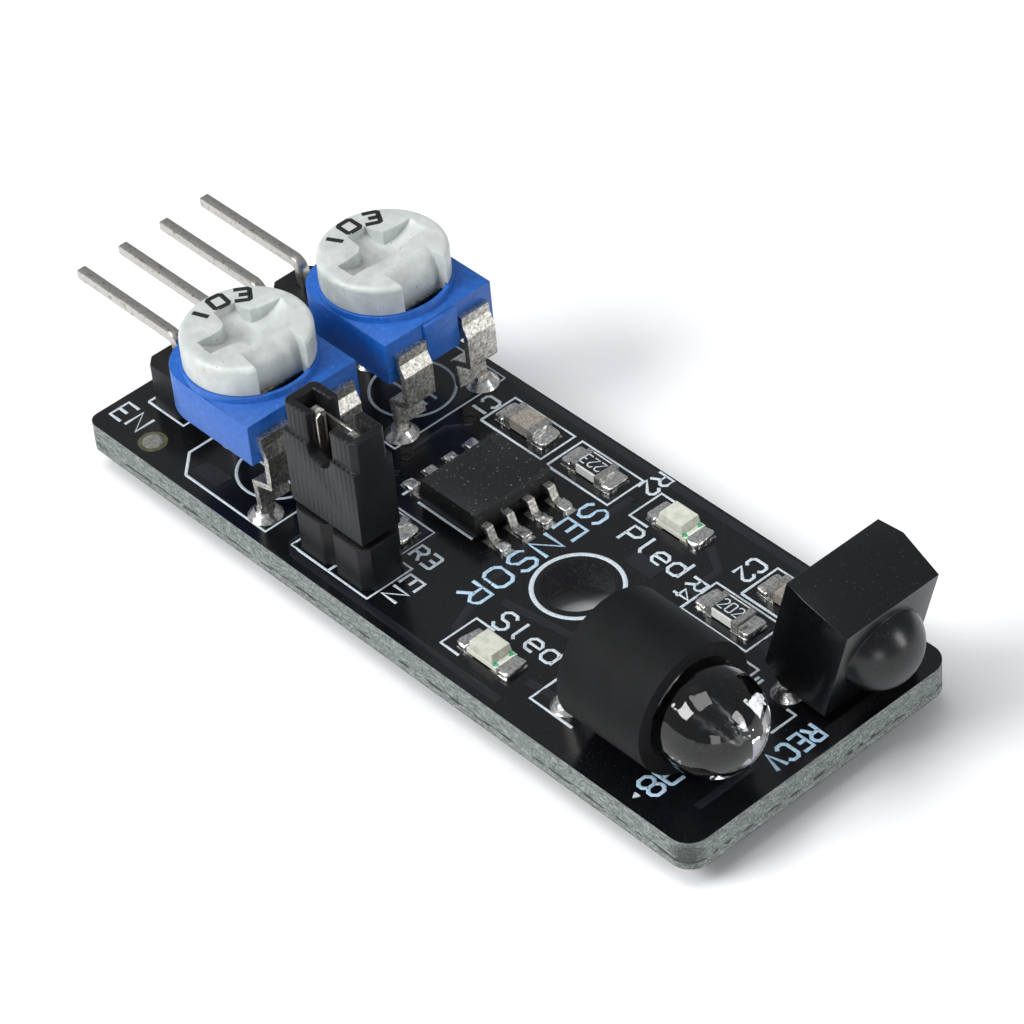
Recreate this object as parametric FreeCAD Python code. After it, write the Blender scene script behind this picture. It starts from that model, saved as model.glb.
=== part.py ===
"""Infrared obstacle sensor module: a small circuit board with an emitter, a receiver, two trimmers,
a timer chip, a pin header and an enable jumper.

Millimetres. The pieces are drawn about the centre of the board's upper face, +X towards the sensing end
and +Z up. On saving they are moved to the part's origin: the mounting hole's axis at the underside.
"""

import FreeCAD
import Part
import math
import os

Vec = FreeCAD.Vector

# Board
BOARD_L = 41.0
BOARD_W = 16.0
BOARD_T = 1.6
SENSOR_CORNER_R = 1.1
HEADER_CORNER_R = 0.6
HOLE_X = 5.1
HOLE_R = 1.7
MASK_T = 0.03
PAD_T = 0.05
PITCH = 2.54
LEAD_BELOW = 1.2
LEAD_BOTTOM = -BOARD_T - LEAD_BELOW

# Square header pins
PIN_W = 0.54
PIN_POINT = 0.16
PIN_HOLE_R = 0.5
HEADER_X = -18.0
HEADER_PINS = 4
HEADER_BLOCK_H = 2.54
HEADER_PIN_Z = 3.85
HEADER_TIP_X = -25.5
HEADER_BEND_R = 0.5
UNIT_BEVEL = 0.45

# Enable jumper
JUMPER_X = -3.8
JUMPER_Y = -5.7
JUMPER_BLOCK_W = 2.5
JUMPER_PIN_TOP = 8.2
CAP_L = 4.9
CAP_W = 2.3
CAP_NECK_W = 1.95
CAP_BOTTOM = 2.85
CAP_SHOULDER = 7.0
CAP_TOP = 8.6
CAP_NOTCH_R = 0.8
CAP_SLOT_L = 4.0
CONTACT_T = 0.2
CONTACT_GAP = 0.02
CAP_SLOT_W = PIN_W + 2 * (CONTACT_GAP + CONTACT_T)
CONTACT_W = 1.0

# Trimmers: one towards each long edge
TRIM_X = (-12.1, -11.85)
TRIM_Y = (-3.96, 4.09)
TRIM_FRONT = 3.65
TRIM_REAR = 3.45
TRIM_W = 6.5
TRIM_REAR_R = 2.3
TRIM_BOTTOM = 3.65
TRIM_TOP = 5.95
COLLAR_TOP = 6.3
COLLAR_R = 3.22
POCKET_R = 3.0
POCKET_FLOOR = 5.0
TRACK_T = 0.25
TRACK_R = 2.7
WIPER_T = 0.12
WIPER_R = 2.8
PIVOT_R = 0.75
RUN_FIT = 0.05
ROTOR_R = 3.12
ROTOR_SKIRT_R = POCKET_R - RUN_FIT
ROTOR_BOTTOM = 5.85
ROTOR_HEAD_Z = COLLAR_TOP + RUN_FIT
ROTOR_TOP = 7.88
ROTOR_EDGE_R = 0.28
ROTOR_BORE_TOP = 6.3
RECESS_DEPTH = 1.0
RECESS_BOWL_R = 3.6
NOTCH_X = 2.12
NOTCH_Y = (-1.25, 1.45)
ROTOR_TURN = (-7, 0)
TERMINAL_X = (-9.0, -8.65)
TERMINAL_T = 0.32
TERMINAL_PLATE_W = 1.7
TERMINAL_PLATE_Y = 1.95
TERMINAL_LEG_W = 0.7
TERMINAL_TOP = 5.15
TERMINAL_HOLE_R = 0.5
WIPER_LEG_BACK = 5.08

# Timer chip, eight leads
CHIP_X = -2.3
CHIP_Y = 1.25
CHIP_L = 4.9
CHIP_W = 3.9
CHIP_BOTTOM = 0.1
CHIP_MID = 0.75
CHIP_TOP = 1.5
CHIP_DRAFT = 0.12
CHIP_LEAD_PITCH = 1.27
CHIP_LEAD_W = 0.42
CHIP_LEAD_T = 0.2
CHIP_TOE = 3.0

# Two-terminal chips on the surface
CHIP2_L = 2.0
CHIP2_W = 1.25
CHIP2_CAP = 0.38
RESISTOR_T = 0.45
CAPACITOR_T = 0.55
GLAZE_T = 0.04
LAMP_BASE_L = 1.94
LAMP_BASE_TOP = 0.34
LAMP_TOP = 0.82
SMD_Z = 0.08
PAD_L = 1.05
PAD_GAP = 1.15
PAD_W = 1.35
RESISTORS = {"r2": (0.05, 5.8), "r3": (-4.35, -3.14), "r4": (11.57, 3.27)}
CAPACITORS = {"c1": (-4.55, 5.85), "c2": (12.9, 5.8)}
LED_CHIPS = {"power": (5.7, 5.85), "signal": (5.7, -5.72)}

# Infrared emitter lying along +X in its sleeve
EMITTER_Y = -4.25
EMITTER_Z = 3.4
EMITTER_DOME_X = 18.2
EMITTER_R = 2.5
EMITTER_FLANGE_R = 2.85
EMITTER_BASE_X = 12.1
EMITTER_FLANGE_T = 1.0
EMITTER_HOLE_X = 10.4
EMITTER_KNEE_Z = 0.45
EMITTER_LEAD_W = 0.5
SLEEVE_OD_R = 3.22
SLEEVE_ID_R = 2.52
EMITTER_FRAME_BACK = 4.4
SLEEVE_X = (EMITTER_BASE_X, 17.15)

# Receiver, leaning forwards over the board's end
RECEIVER_X = 15.61
RECEIVER_Y = 4.13
RECEIVER_Z = 1.12
RECEIVER_LEAN = 15.7
RECEIVER_W = 6.0
RECEIVER_H = 6.2
RECEIVER_PART = 1.27
RECEIVER_D = 3.7
RECEIVER_DRAFT = 0.22
RECEIVER_DOME_R = 2.18
RECEIVER_DOME_H = 3.1
RECEIVER_DOME_X = 3.32
RECEIVER_DIE_H = 3.3
RECEIVER_LEAD_W = 0.5
RECEIVER_HOLE_X = 16.8
RECEIVER_KNEE_Z = 0.45

SMALL_HOLE_R = 0.45
JOINT_R = 0.85
JOINT_H = 0.8

MASK_TOP = 0.0
LAMINATE_TOP = -MASK_T
LAMINATE_BOTTOM = -BOARD_T + MASK_T


def box(x, y, z):
    """A block from three (low, high) pairs."""
    size = [high - low for low, high in (x, y, z)]
    return Part.makeBox(*size, Vec(x[0], y[0], z[0]))


def around(centre, half):
    return (centre - half, centre + half)


def rod(x, y, z, r):
    """An upright round rod between two heights."""
    return Part.makeCylinder(r, z[1] - z[0], Vec(x, y, z[0]))


def cone(x, y, z, r_low, r_high):
    return Part.makeCone(r_low, r_high, z[1] - z[0], Vec(x, y, z[0]))


def prism(points, z):
    """An upright prism from plan points."""
    wire = Part.makePolygon([Vec(px, py, z[0]) for px, py in points + points[:1]])
    return Part.Face(wire).extrude(Vec(0, 0, z[1] - z[0]))


def frustum(x, y, z, inset_low, inset_high):
    """A block whose four sides draw in at its foot or at its top."""
    wires = []
    for height, inset in ((z[0], inset_low), (z[1], inset_high)):
        x0, x1 = x[0] + inset, x[1] - inset
        y0, y1 = y[0] + inset, y[1] - inset
        corners = [Vec(x0, y0, height), Vec(x1, y0, height), Vec(x1, y1, height), Vec(x0, y1, height)]
        wires.append(Part.makePolygon(corners + corners[:1]))
    return Part.makeLoft(wires, True, True)


def fuse(shapes):
    whole = shapes[0]
    for piece in shapes[1:]:
        whole = whole.fuse(piece)
    return whole.removeSplitter()


def strip(points, thickness, y):
    """Sheet or square wire bent along x-z points, as wide as the (low, high) pair y."""
    pieces = []
    for (xa, za), (xb, zb) in zip(points, points[1:]):
        run = math.hypot(xb - xa, zb - za)
        flat = Part.makeBox(run, y[1] - y[0], thickness, Vec(0, y[0], -thickness / 2))
        flat.rotate(Vec(0, 0, 0), Vec(0, 1, 0), -math.degrees(math.atan2(zb - za, xb - xa)))
        flat.translate(Vec(xa, 0, za))
        pieces.append(flat)
    for px, pz in points[1:-1]:
        pieces.append(Part.makeCylinder(thickness / 2, y[1] - y[0], Vec(px, y[0], pz), Vec(0, 1, 0)))
    return fuse(pieces)


def save(name, *shapes):
    """Moves the solids of one piece to the part's origin and writes them."""
    solids = [solid for shape in shapes for solid in shape.Solids]
    piece = Part.makeCompound(solids) if len(solids) > 1 else solids[0].copy()
    piece.translate(Vec(-HOLE_X, 0, BOARD_T))
    piece.exportStep("parts/" + name + ".step")


def header_pin_ys():
    return [(i - (HEADER_PINS - 1) / 2) * PITCH for i in range(HEADER_PINS)]


def trimmer_legs(n):
    """Plan places of one trimmer's three legs: two at the front and the wiper's at the back."""
    y = TRIM_Y[n]
    front = TERMINAL_X[n]
    return [(front, y - PITCH), (front, y + PITCH), (front - WIPER_LEG_BACK, y)]


def through_holes():
    """Every plated hole: x, y and radius."""
    holes = [(HEADER_X, y, PIN_HOLE_R) for y in header_pin_ys()]
    holes += [(JUMPER_X + side * PITCH / 2, JUMPER_Y, PIN_HOLE_R) for side in (-1, 1)]
    for n in (0, 1):
        holes += [(x, y, TERMINAL_HOLE_R) for x, y in trimmer_legs(n)]
    holes += [(EMITTER_HOLE_X, EMITTER_Y + side * PITCH / 2, SMALL_HOLE_R) for side in (-1, 1)]
    holes += [(RECEIVER_HOLE_X, RECEIVER_Y + side * PITCH, SMALL_HOLE_R) for side in (-1, 0, 1)]
    return holes


def chip_pads():
    """Plan centres of the surface pads, with half length along X and half width along Y."""
    pads = []
    for x, y in [*RESISTORS.values(), *CAPACITORS.values(), *LED_CHIPS.values()]:
        for side in (-1, 1):
            pads.append((x + side * (PAD_GAP + PAD_L) / 2, y, PAD_L / 2, PAD_W / 2))
    for side in (-1, 1):
        for i in range(4):
            pads.append((CHIP_X + side * 2.85, CHIP_Y + (i - 1.5) * CHIP_LEAD_PITCH, 0.8, 0.3))
    return pads


def board_outline(z):
    """The board's plan with a small radius at the header end and a larger one at the sensing end."""
    half_l, half_w = BOARD_L / 2, BOARD_W / 2
    span = (z[0] - 1, z[1] + 1)
    plate = box((-half_l, half_l), (-half_w, half_w), z)
    for sx, r in ((-1, HEADER_CORNER_R), (1, SENSOR_CORNER_R)):
        for sy in (-1, 1):
            cx, cy = sx * (half_l - r), sy * (half_w - r)
            corner_x = sorted((cx, sx * (half_l + 1)))
            corner_y = sorted((cy, sy * (half_w + 1)))
            corner = box(corner_x, corner_y, span).cut(rod(cx, cy, span, r))
            plate = plate.cut(corner)
    return plate.cut(rod(HOLE_X, 0, span, HOLE_R))


def board_pieces():
    span = (-BOARD_T - 1, 1)
    laminate = board_outline((LAMINATE_BOTTOM, LAMINATE_TOP))
    top = board_outline((LAMINATE_TOP, MASK_TOP))
    bottom = board_outline((-BOARD_T, LAMINATE_BOTTOM))
    rings_top, rings_bottom = [], []
    for x, y, r in through_holes():
        laminate = laminate.cut(rod(x, y, span, r))
        ring = r + 0.35
        top = top.cut(rod(x, y, span, ring))
        bottom = bottom.cut(rod(x, y, span, ring))
        rings_top.append(rod(x, y, (LAMINATE_TOP, LAMINATE_TOP + PAD_T), ring).cut(rod(x, y, span, r)))
        below = (LAMINATE_BOTTOM - PAD_T, LAMINATE_BOTTOM)
        rings_bottom.append(rod(x, y, below, ring).cut(rod(x, y, span, r)))
    for x, y, half_l, half_w in chip_pads():
        top = top.cut(box(around(x, half_l), around(y, half_w), span))
        rings_top.append(box(around(x, half_l), around(y, half_w), (LAMINATE_TOP, LAMINATE_TOP + PAD_T)))
    save("board_laminate", laminate)
    save("solder_mask_top", top)
    save("solder_mask_bottom", bottom)
    save("copper_pads_top", *rings_top)
    save("copper_pads_bottom", *rings_bottom)


def header_block(x, y, units, along_y, width, height):
    """Moulded pin strip: each unit of one pitch has its four upright corners bevelled."""
    pieces = []
    half_w = width / 2
    for i in range(units):
        offset = (i - (units - 1) / 2) * PITCH
        h = PITCH / 2
        b = UNIT_BEVEL
        ring = [(-h, -half_w + b), (-h + b, -half_w), (h - b, -half_w), (h, -half_w + b)]
        ring += [(-px, -py) for px, py in ring]
        if along_y:
            ring = [(-py, px) for px, py in ring]
            ring = [(x + px, y + offset + py) for px, py in ring]
        else:
            ring = [(x + offset + px, y + py) for px, py in ring]
        pieces.append(prism(ring, (0.02, height)))
    return fuse(pieces)


def square_hole(x, y, z):
    return box(around(x, PIN_W / 2), around(y, PIN_W / 2), z)


def pin_point(x, y, z_low, z_high, wide_low):
    """The tapered end of a square pin."""
    half = PIN_W / 2
    insets = (0, PIN_POINT) if wide_low else (PIN_POINT, 0)
    return frustum(around(x, half), around(y, half), (z_low, z_high), *insets)


def header_pieces():
    block = header_block(HEADER_X, 0, HEADER_PINS, True, PITCH, HEADER_BLOCK_H)
    for y in header_pin_ys():
        block = block.cut(square_hole(HEADER_X, y, (-1, HEADER_BLOCK_H + 1)))
    save("header_block", block)
    bend_x = HEADER_X - HEADER_BEND_R
    bend_z = HEADER_PIN_Z - HEADER_BEND_R
    steps = [math.radians(a) for a in (0, 30, 60, 90)]
    curve = [(bend_x + HEADER_BEND_R * math.cos(a), bend_z + HEADER_BEND_R * math.sin(a)) for a in steps]
    for i, y in enumerate(header_pin_ys()):
        path = [(HEADER_X, LEAD_BOTTOM + PIN_POINT)] + curve + [(HEADER_TIP_X + PIN_POINT, HEADER_PIN_Z)]
        pin = strip(path, PIN_W, around(y, PIN_W / 2))
        foot = pin_point(HEADER_X, y, LEAD_BOTTOM, LEAD_BOTTOM + PIN_POINT, False)
        tip = pin_point(0, 0, 0, PIN_POINT, True)
        tip.rotate(Vec(0, 0, 0), Vec(0, 1, 0), -90)
        tip.translate(Vec(HEADER_TIP_X + PIN_POINT, y, HEADER_PIN_Z))
        save("header_pin_%d" % (i + 1), fuse([pin, foot, tip]))


def jumper_pieces():
    block = header_block(JUMPER_X, JUMPER_Y, 2, False, JUMPER_BLOCK_W, HEADER_BLOCK_H)
    pins_x = [JUMPER_X + side * PITCH / 2 for side in (-1, 1)]
    for i, x in enumerate(pins_x):
        block = block.cut(square_hole(x, JUMPER_Y, (-1, HEADER_BLOCK_H + 1)))
        shank = square_hole(x, JUMPER_Y, (LEAD_BOTTOM + PIN_POINT, JUMPER_PIN_TOP - PIN_POINT))
        foot = pin_point(x, JUMPER_Y, LEAD_BOTTOM, LEAD_BOTTOM + PIN_POINT, False)
        head = pin_point(x, JUMPER_Y, JUMPER_PIN_TOP - PIN_POINT, JUMPER_PIN_TOP, True)
        save("jumper_pin_%d" % (i + 1), fuse([foot, shank, head]))
    save("jumper_header_block", block)

    half_l = CAP_L / 2
    lower = box(around(JUMPER_X, half_l), around(JUMPER_Y, CAP_W / 2), (CAP_BOTTOM, CAP_SHOULDER))
    neck = box(around(JUMPER_X, half_l), around(JUMPER_Y, CAP_NECK_W / 2), (CAP_SHOULDER, CAP_TOP))
    uprights = [e for e in neck.Edges if abs(e.tangentAt(0).z) > 0.9]
    neck = neck.makeChamfer(0.25, uprights)
    cap = fuse([lower, neck])
    slot_z = (CAP_BOTTOM - 1, CAP_TOP + 1)
    slot = box(around(JUMPER_X, CAP_SLOT_L / 2), around(JUMPER_Y, CAP_SLOT_W / 2), slot_z)
    across = Part.makeCylinder(CAP_NOTCH_R, 4, Vec(JUMPER_X, JUMPER_Y - 2, CAP_SHOULDER), Vec(0, 1, 0))
    gap = box(around(JUMPER_X, CAP_NOTCH_R), around(JUMPER_Y, 2), (CAP_SHOULDER, CAP_TOP + 1))
    cap = cap.cut(slot).cut(across).cut(gap)
    save("jumper_cap", cap)

    inner = PIN_W / 2 + CONTACT_GAP
    outer = inner + CONTACT_T
    top = JUMPER_PIN_TOP + 0.25
    far_wall = (JUMPER_Y + inner, JUMPER_Y + outer)
    near_wall = (JUMPER_Y - outer, JUMPER_Y - inner)
    pieces = [box(around(JUMPER_X, CAP_SLOT_L / 2 - 0.05), far_wall, (3.4, 5.6))]
    for x in pins_x:
        leaf_x = around(x, CONTACT_W / 2 - 0.05)
        pieces.append(box(leaf_x, far_wall, (5.5, top)))
        pieces.append(box(leaf_x, near_wall, (4.2, top)))
        pieces.append(box(leaf_x, (JUMPER_Y - outer, JUMPER_Y + outer), (top - CONTACT_T, top)))
    save("jumper_contact", fuse(pieces))


def trimmer_plan(x, y, z):
    """A trimmer's plan: square at the front and round-cornered at the back."""
    body = box((x - TRIM_REAR, x + TRIM_FRONT), around(y, TRIM_W / 2), z)
    rear = [e for e in body.Edges if abs(e.tangentAt(0).z) > 0.9 and e.CenterOfMass.x < x]
    return body.makeFillet(TRIM_REAR_R, rear)


def trimmer_housing(x, y, back):
    body = trimmer_plan(x, y, (TRIM_BOTTOM, TRIM_TOP))
    collar = trimmer_plan(x, y, (TRIM_TOP, COLLAR_TOP)).common(rod(x, y, (TRIM_TOP, COLLAR_TOP), COLLAR_R))
    nose = box((x + TRIM_FRONT, x + TRIM_FRONT + 0.2), around(y, 0.98), (TRIM_BOTTOM, TRIM_TOP - 0.12))
    body = fuse([body, collar, nose])
    body = body.cut(rod(x, y, (POCKET_FLOOR, COLLAR_TOP + 1), POCKET_R))
    body = body.cut(rod(x, y, (TRIM_BOTTOM - 1, COLLAR_TOP), PIVOT_R))
    tail = box((back - 0.4, x + 0.8), around(y, 0.55), (TRIM_BOTTOM - 1, TRIM_BOTTOM + 0.35))
    return body.cut(tail)


def trimmer_track(x, y):
    """The resistance disc under the rotor, with a gap in its ring at the front."""
    floor = (POCKET_FLOOR, POCKET_FLOOR + TRACK_T)
    disc = rod(x, y, floor, TRACK_R).cut(rod(x, y, (floor[0] - 1, floor[1] + 1), 1.3))
    return disc.cut(box((x, x + 4), around(y, 0.35), (floor[0] - 1, floor[1] + 1)))


def trimmer_wiper(x, y):
    """The spring washer under the rotor, with one raised finger that rides on the track."""
    low = POCKET_FLOOR + TRACK_T + 0.02
    z = (ROTOR_BOTTOM - WIPER_T, ROTOR_BOTTOM)
    washer = rod(x, y, z, WIPER_R).common(box((x - 4, x + NOTCH_X + 0.12), around(y, 4), z))
    washer = washer.cut(rod(x, y, (z[0] - 1, z[1] + 1), PIVOT_R + RUN_FIT))
    finger = rod(x - 2.0, y, (low, z[0] + 0.01), 0.25)
    return fuse([washer, finger])


def recess_outline():
    """Half-way cross for a flat or cross driver, with a short pointed arm that shows the setting."""
    return [
        (0.4, 2.4),
        (0.42, 1.6),
        (0.6, 0.85),
        (0.85, 0.2),
        (1.4, -0.42),
        (1.32, -0.6),
        (0.85, -0.68),
        (0.7, -1.1),
        (0.62, -1.7),
        (0.6, -2.3),
        (-0.5, -2.33),
        (-0.48, -1.6),
        (-0.56, -1.0),
        (-0.78, -0.72),
        (-1.2, -0.62),
        (-1.85, -0.58),
        (-1.85, 0.55),
        (-1.3, 0.6),
        (-0.9, 0.8),
        (-0.75, 1.3),
        (-0.72, 2.38),
    ]


def rotor_notch():
    """The stop notch in the rotor's front, whose wall leans back and rounds over into the top."""
    up = ROTOR_TOP + 0.1
    wall = [(4.0, ROTOR_BOTTOM - 1), (NOTCH_X, ROTOR_BOTTOM - 1), (NOTCH_X, 6.8)]
    wall += [(NOTCH_X - 0.05, 7.1), (NOTCH_X - 0.2, 7.45), (NOTCH_X - 0.45, 7.72)]
    wall += [(NOTCH_X - 0.8, up), (4.0, up)]
    points = [Vec(px, NOTCH_Y[0], pz) for px, pz in wall]
    face = Part.Face(Part.makePolygon(points + points[:1]))
    return face.extrude(Vec(0, NOTCH_Y[1] - NOTCH_Y[0], 0))


def trimmer_rotor(x, y, turn):
    """Rotor with its skirt in the pocket, its head over the collar and a rounded upper rim."""
    r = ROTOR_R
    e = ROTOR_EDGE_R
    up = ROTOR_TOP
    mid = e * math.sqrt(0.5)
    rim = Part.Arc(Vec(r, 0, up - e), Vec(r - e + mid, 0, up - e + mid), Vec(r - e, 0, up)).toShape()
    line = Part.makePolygon([
        Vec(r - e, 0, up), Vec(0, 0, up), Vec(0, 0, ROTOR_BOTTOM), Vec(ROTOR_SKIRT_R, 0, ROTOR_BOTTOM),
        Vec(ROTOR_SKIRT_R, 0, ROTOR_HEAD_Z), Vec(r, 0, ROTOR_HEAD_Z), Vec(r, 0, up - e),
    ])
    body = Part.Face(Part.Wire([rim] + line.Edges)).revolve(Vec(0, 0, 0), Vec(0, 0, 1), 360)
    body = body.cut(rod(0, 0, (ROTOR_BOTTOM - 1, ROTOR_BORE_TOP), PIVOT_R + RUN_FIT))
    bowl = Part.makeSphere(RECESS_BOWL_R, Vec(0, 0, up - RECESS_DEPTH + RECESS_BOWL_R))
    body = body.cut(prism(recess_outline(), (up - RECESS_DEPTH - 1, up + 1)).common(bowl))
    body = body.cut(rotor_notch())
    body.rotate(Vec(0, 0, 0), Vec(0, 0, 1), turn)
    body.translate(Vec(x, y, 0))
    return body


def trimmer_front_terminal(x, y, hole_x, side):
    """Stamped plate on the housing's front that kinks back over its hole and ends in a narrow leg."""
    face = x + TRIM_FRONT + TERMINAL_T / 2
    lip = face + 0.3
    plate_y = around(y + side * TERMINAL_PLATE_Y, TERMINAL_PLATE_W / 2)
    leg_y = around(y + side * PITCH, TERMINAL_LEG_W / 2)
    path = [(face, TERMINAL_TOP), (face, 4.6), (lip, 4.0), (lip, 2.35), (hole_x - 0.15, 2.0), (hole_x, 0.6)]
    plate = strip(path, TERMINAL_T, plate_y)
    return fuse([plate, strip([(hole_x, 0.6), (hole_x, LEAD_BOTTOM)], TERMINAL_T, leg_y)])


def trimmer_wiper_terminal(x, y, back):
    """The strap under the housing, its leg, and the pivot that the rotor turns on."""
    strap_z = TRIM_BOTTOM + 0.17
    leg_y = around(y, TERMINAL_LEG_W / 2)
    strap = strip([(x, strap_z), (back, strap_z), (back, LEAD_BOTTOM)], TERMINAL_T, leg_y)
    return fuse([strap, rod(x, y, (TRIM_BOTTOM + 0.05, ROTOR_BORE_TOP - 0.1), PIVOT_R)])


def trimmer_pieces():
    for n in (0, 1):
        x, y, hole_x = TRIM_X[n], TRIM_Y[n], TERMINAL_X[n]
        back = hole_x - WIPER_LEG_BACK
        name = "trimmer_%d_" % (n + 1)
        wiper_leg = trimmer_wiper_terminal(x, y, back)
        save(name + "housing", trimmer_housing(x, y, back).cut(wiper_leg))
        save(name + "track", trimmer_track(x, y))
        save(name + "wiper", trimmer_wiper(x, y))
        save(name + "rotor", trimmer_rotor(x, y, ROTOR_TURN[n]))
        save(name + "terminal_a", trimmer_front_terminal(x, y, hole_x, -1))
        save(name + "terminal_b", trimmer_front_terminal(x, y, hole_x, 1))
        save(name + "wiper_terminal", wiper_leg)


def timer_chip_pieces():
    half_w, half_l = CHIP_W / 2, CHIP_L / 2
    x, y = around(CHIP_X, half_w), around(CHIP_Y, half_l)
    lower = frustum(x, y, (CHIP_BOTTOM, CHIP_MID), CHIP_DRAFT, 0)
    upper = frustum(x, y, (CHIP_MID, CHIP_TOP), 0, CHIP_DRAFT)
    body = fuse([lower, upper])
    mark = rod(CHIP_X - half_w + 0.6, CHIP_Y + half_l - 0.6, (CHIP_TOP - 0.04, CHIP_TOP + 1), 0.28)
    body = body.cut(mark)
    leads = []
    for side in (-1, 1):
        for i in range(4):
            lead_y = CHIP_Y + (i - 1.5) * CHIP_LEAD_PITCH
            knee = half_w + 0.3
            path = [(half_w - 0.6, CHIP_MID), (knee, CHIP_MID), (knee + 0.25, 0.14), (CHIP_TOE, 0.14)]
            path = [(CHIP_X + side * px, pz) for px, pz in path]
            leads.append(strip(path, CHIP_LEAD_T, around(lead_y, CHIP_LEAD_W / 2)))
    die = box(around(CHIP_X, 0.9), around(CHIP_Y, 0.9), (CHIP_MID, CHIP_MID + 0.3))
    body = body.cut(die)
    for lead in leads:
        body = body.cut(lead)
    save("timer_chip_body", body)
    save("timer_chip_leads", *leads)
    save("timer_chip_die", die)


def chip_core(x, y, thickness):
    """The ceramic between the two end caps."""
    half = CHIP2_L / 2 - CHIP2_CAP
    return box(around(x, half), around(y, CHIP2_W / 2 - 0.02), (SMD_Z, SMD_Z + thickness))


def chip_caps(x, y, thickness):
    """The two plated ends of one chip."""
    caps = []
    for side in (-1, 1):
        near, far = CHIP2_L / 2 - CHIP2_CAP, CHIP2_L / 2
        span = sorted((x + side * near, x + side * far))
        caps.append(box(span, around(y, CHIP2_W / 2), (SMD_Z - 0.02, SMD_Z + thickness + 0.02)))
    return caps


def surface_chip_pieces():
    caps, films = [], []
    for name, (x, y) in RESISTORS.items():
        save("resistor_" + name, chip_core(x, y, RESISTOR_T))
        top = SMD_Z + RESISTOR_T
        film = (top, top + GLAZE_T)
        films.append(box(around(x, CHIP2_L / 2 - CHIP2_CAP), around(y, CHIP2_W / 2 - 0.12), film))
        caps += chip_caps(x, y, RESISTOR_T)
    for name, (x, y) in CAPACITORS.items():
        save("capacitor_" + name, chip_core(x, y, CAPACITOR_T))
        caps += chip_caps(x, y, CAPACITOR_T)
    save("chip_end_caps", *caps)
    save("resistor_glazes", *films)

    terminals = []
    for name, (x, y) in LED_CHIPS.items():
        base = box(around(x, LAMP_BASE_L / 2), around(y, CHIP2_W / 2), (SMD_Z, LAMP_BASE_TOP))
        lens_y = around(y, CHIP2_W / 2 - 0.02)
        lens = frustum((x - 0.85, x + 0.68), lens_y, (LAMP_BASE_TOP, LAMP_TOP), 0, 0.06)
        save(name + "_led_base", base)
        save(name + "_led_lens", lens)
        for side in (-1, 1):
            span = sorted((x + side * LAMP_BASE_L / 2, x + side * (LAMP_BASE_L / 2 + 0.06)))
            terminals.append(box(span, around(y, CHIP2_W / 2), (SMD_Z - 0.02, LAMP_BASE_TOP)))
    save("led_terminals", *terminals)


def along_x(x, r):
    """A round rod on the emitter's axis between two places along X."""
    return Part.makeCylinder(r, x[1] - x[0], Vec(x[0], EMITTER_Y, EMITTER_Z), Vec(1, 0, 0))


def emitter_pieces():
    flange_end = EMITTER_BASE_X + EMITTER_FLANGE_T
    flange = along_x((EMITTER_BASE_X, flange_end), EMITTER_FLANGE_R)
    barrel = along_x((EMITTER_BASE_X, EMITTER_DOME_X), EMITTER_R)
    dome = Part.makeSphere(EMITTER_R, Vec(EMITTER_DOME_X, EMITTER_Y, EMITTER_Z))
    lens = fuse([flange, barrel, dome])
    leads = []
    half = EMITTER_LEAD_W / 2
    inner_x = EMITTER_DOME_X - EMITTER_FRAME_BACK
    for side in (-1, 1):
        y = EMITTER_Y + side * PITCH / 2
        path = [(EMITTER_HOLE_X, LEAD_BOTTOM), (EMITTER_HOLE_X, EMITTER_KNEE_Z)]
        path += [(EMITTER_BASE_X - 0.6, EMITTER_Z), (inner_x, EMITTER_Z)]
        leads.append(strip(path, EMITTER_LEAD_W, around(y, half)))
    cathode_y = EMITTER_Y + PITCH / 2
    post_x = (inner_x - 0.3, inner_x + 1.4)
    anvil = box(post_x, (EMITTER_Y - 0.55, cathode_y + half), around(EMITTER_Z, 0.3))
    cup_x = post_x[1]
    cup = Part.makeCone(0.6, 0.9, 0.8, Vec(cup_x, EMITTER_Y, EMITTER_Z), Vec(1, 0, 0))
    hollow = Part.makeCone(0.35, 0.75, 0.62, Vec(cup_x + 0.2, EMITTER_Y, EMITTER_Z), Vec(1, 0, 0))
    cathode = fuse([leads[1], anvil, cup]).cut(hollow)
    post = box((inner_x - 0.2, inner_x + 1.2), around(EMITTER_Y - PITCH / 2, 0.35), around(EMITTER_Z, 0.2))
    anode = fuse([leads[0], post])
    die = box((cup_x + 0.2, cup_x + 0.4), around(EMITTER_Y, 0.18), around(EMITTER_Z, 0.18))
    for metal in (anode, cathode, die):
        lens = lens.cut(metal)
    save("ir_led_lens", lens)
    save("ir_led_anode_lead", anode)
    save("ir_led_cathode_lead", cathode)
    save("ir_led_die", die)
    bore = along_x((SLEEVE_X[0] - 1, SLEEVE_X[1] + 1), SLEEVE_ID_R)
    flange_seat = along_x((SLEEVE_X[0] - 1, flange_end + 0.02), EMITTER_FLANGE_R + 0.02)
    sleeve = along_x(SLEEVE_X, SLEEVE_OD_R).cut(bore).cut(flange_seat)
    save("ir_led_sleeve", sleeve)


def lean(shape):
    """Turns a receiver piece forwards and puts it over its holes."""
    shape.rotate(Vec(0, 0, 0), Vec(0, 1, 0), RECEIVER_LEAN)
    shape.translate(Vec(RECEIVER_X, RECEIVER_Y, RECEIVER_Z))
    return shape


def receiver_section(x, inset):
    """One upright rectangle of the receiver's body at a depth from its back."""
    half = RECEIVER_W / 2 - inset
    low, high = inset, RECEIVER_H - inset
    corners = [Vec(x, -half, low), Vec(x, half, low), Vec(x, half, high), Vec(x, -half, high)]
    return Part.makePolygon(corners + corners[:1])


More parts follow.
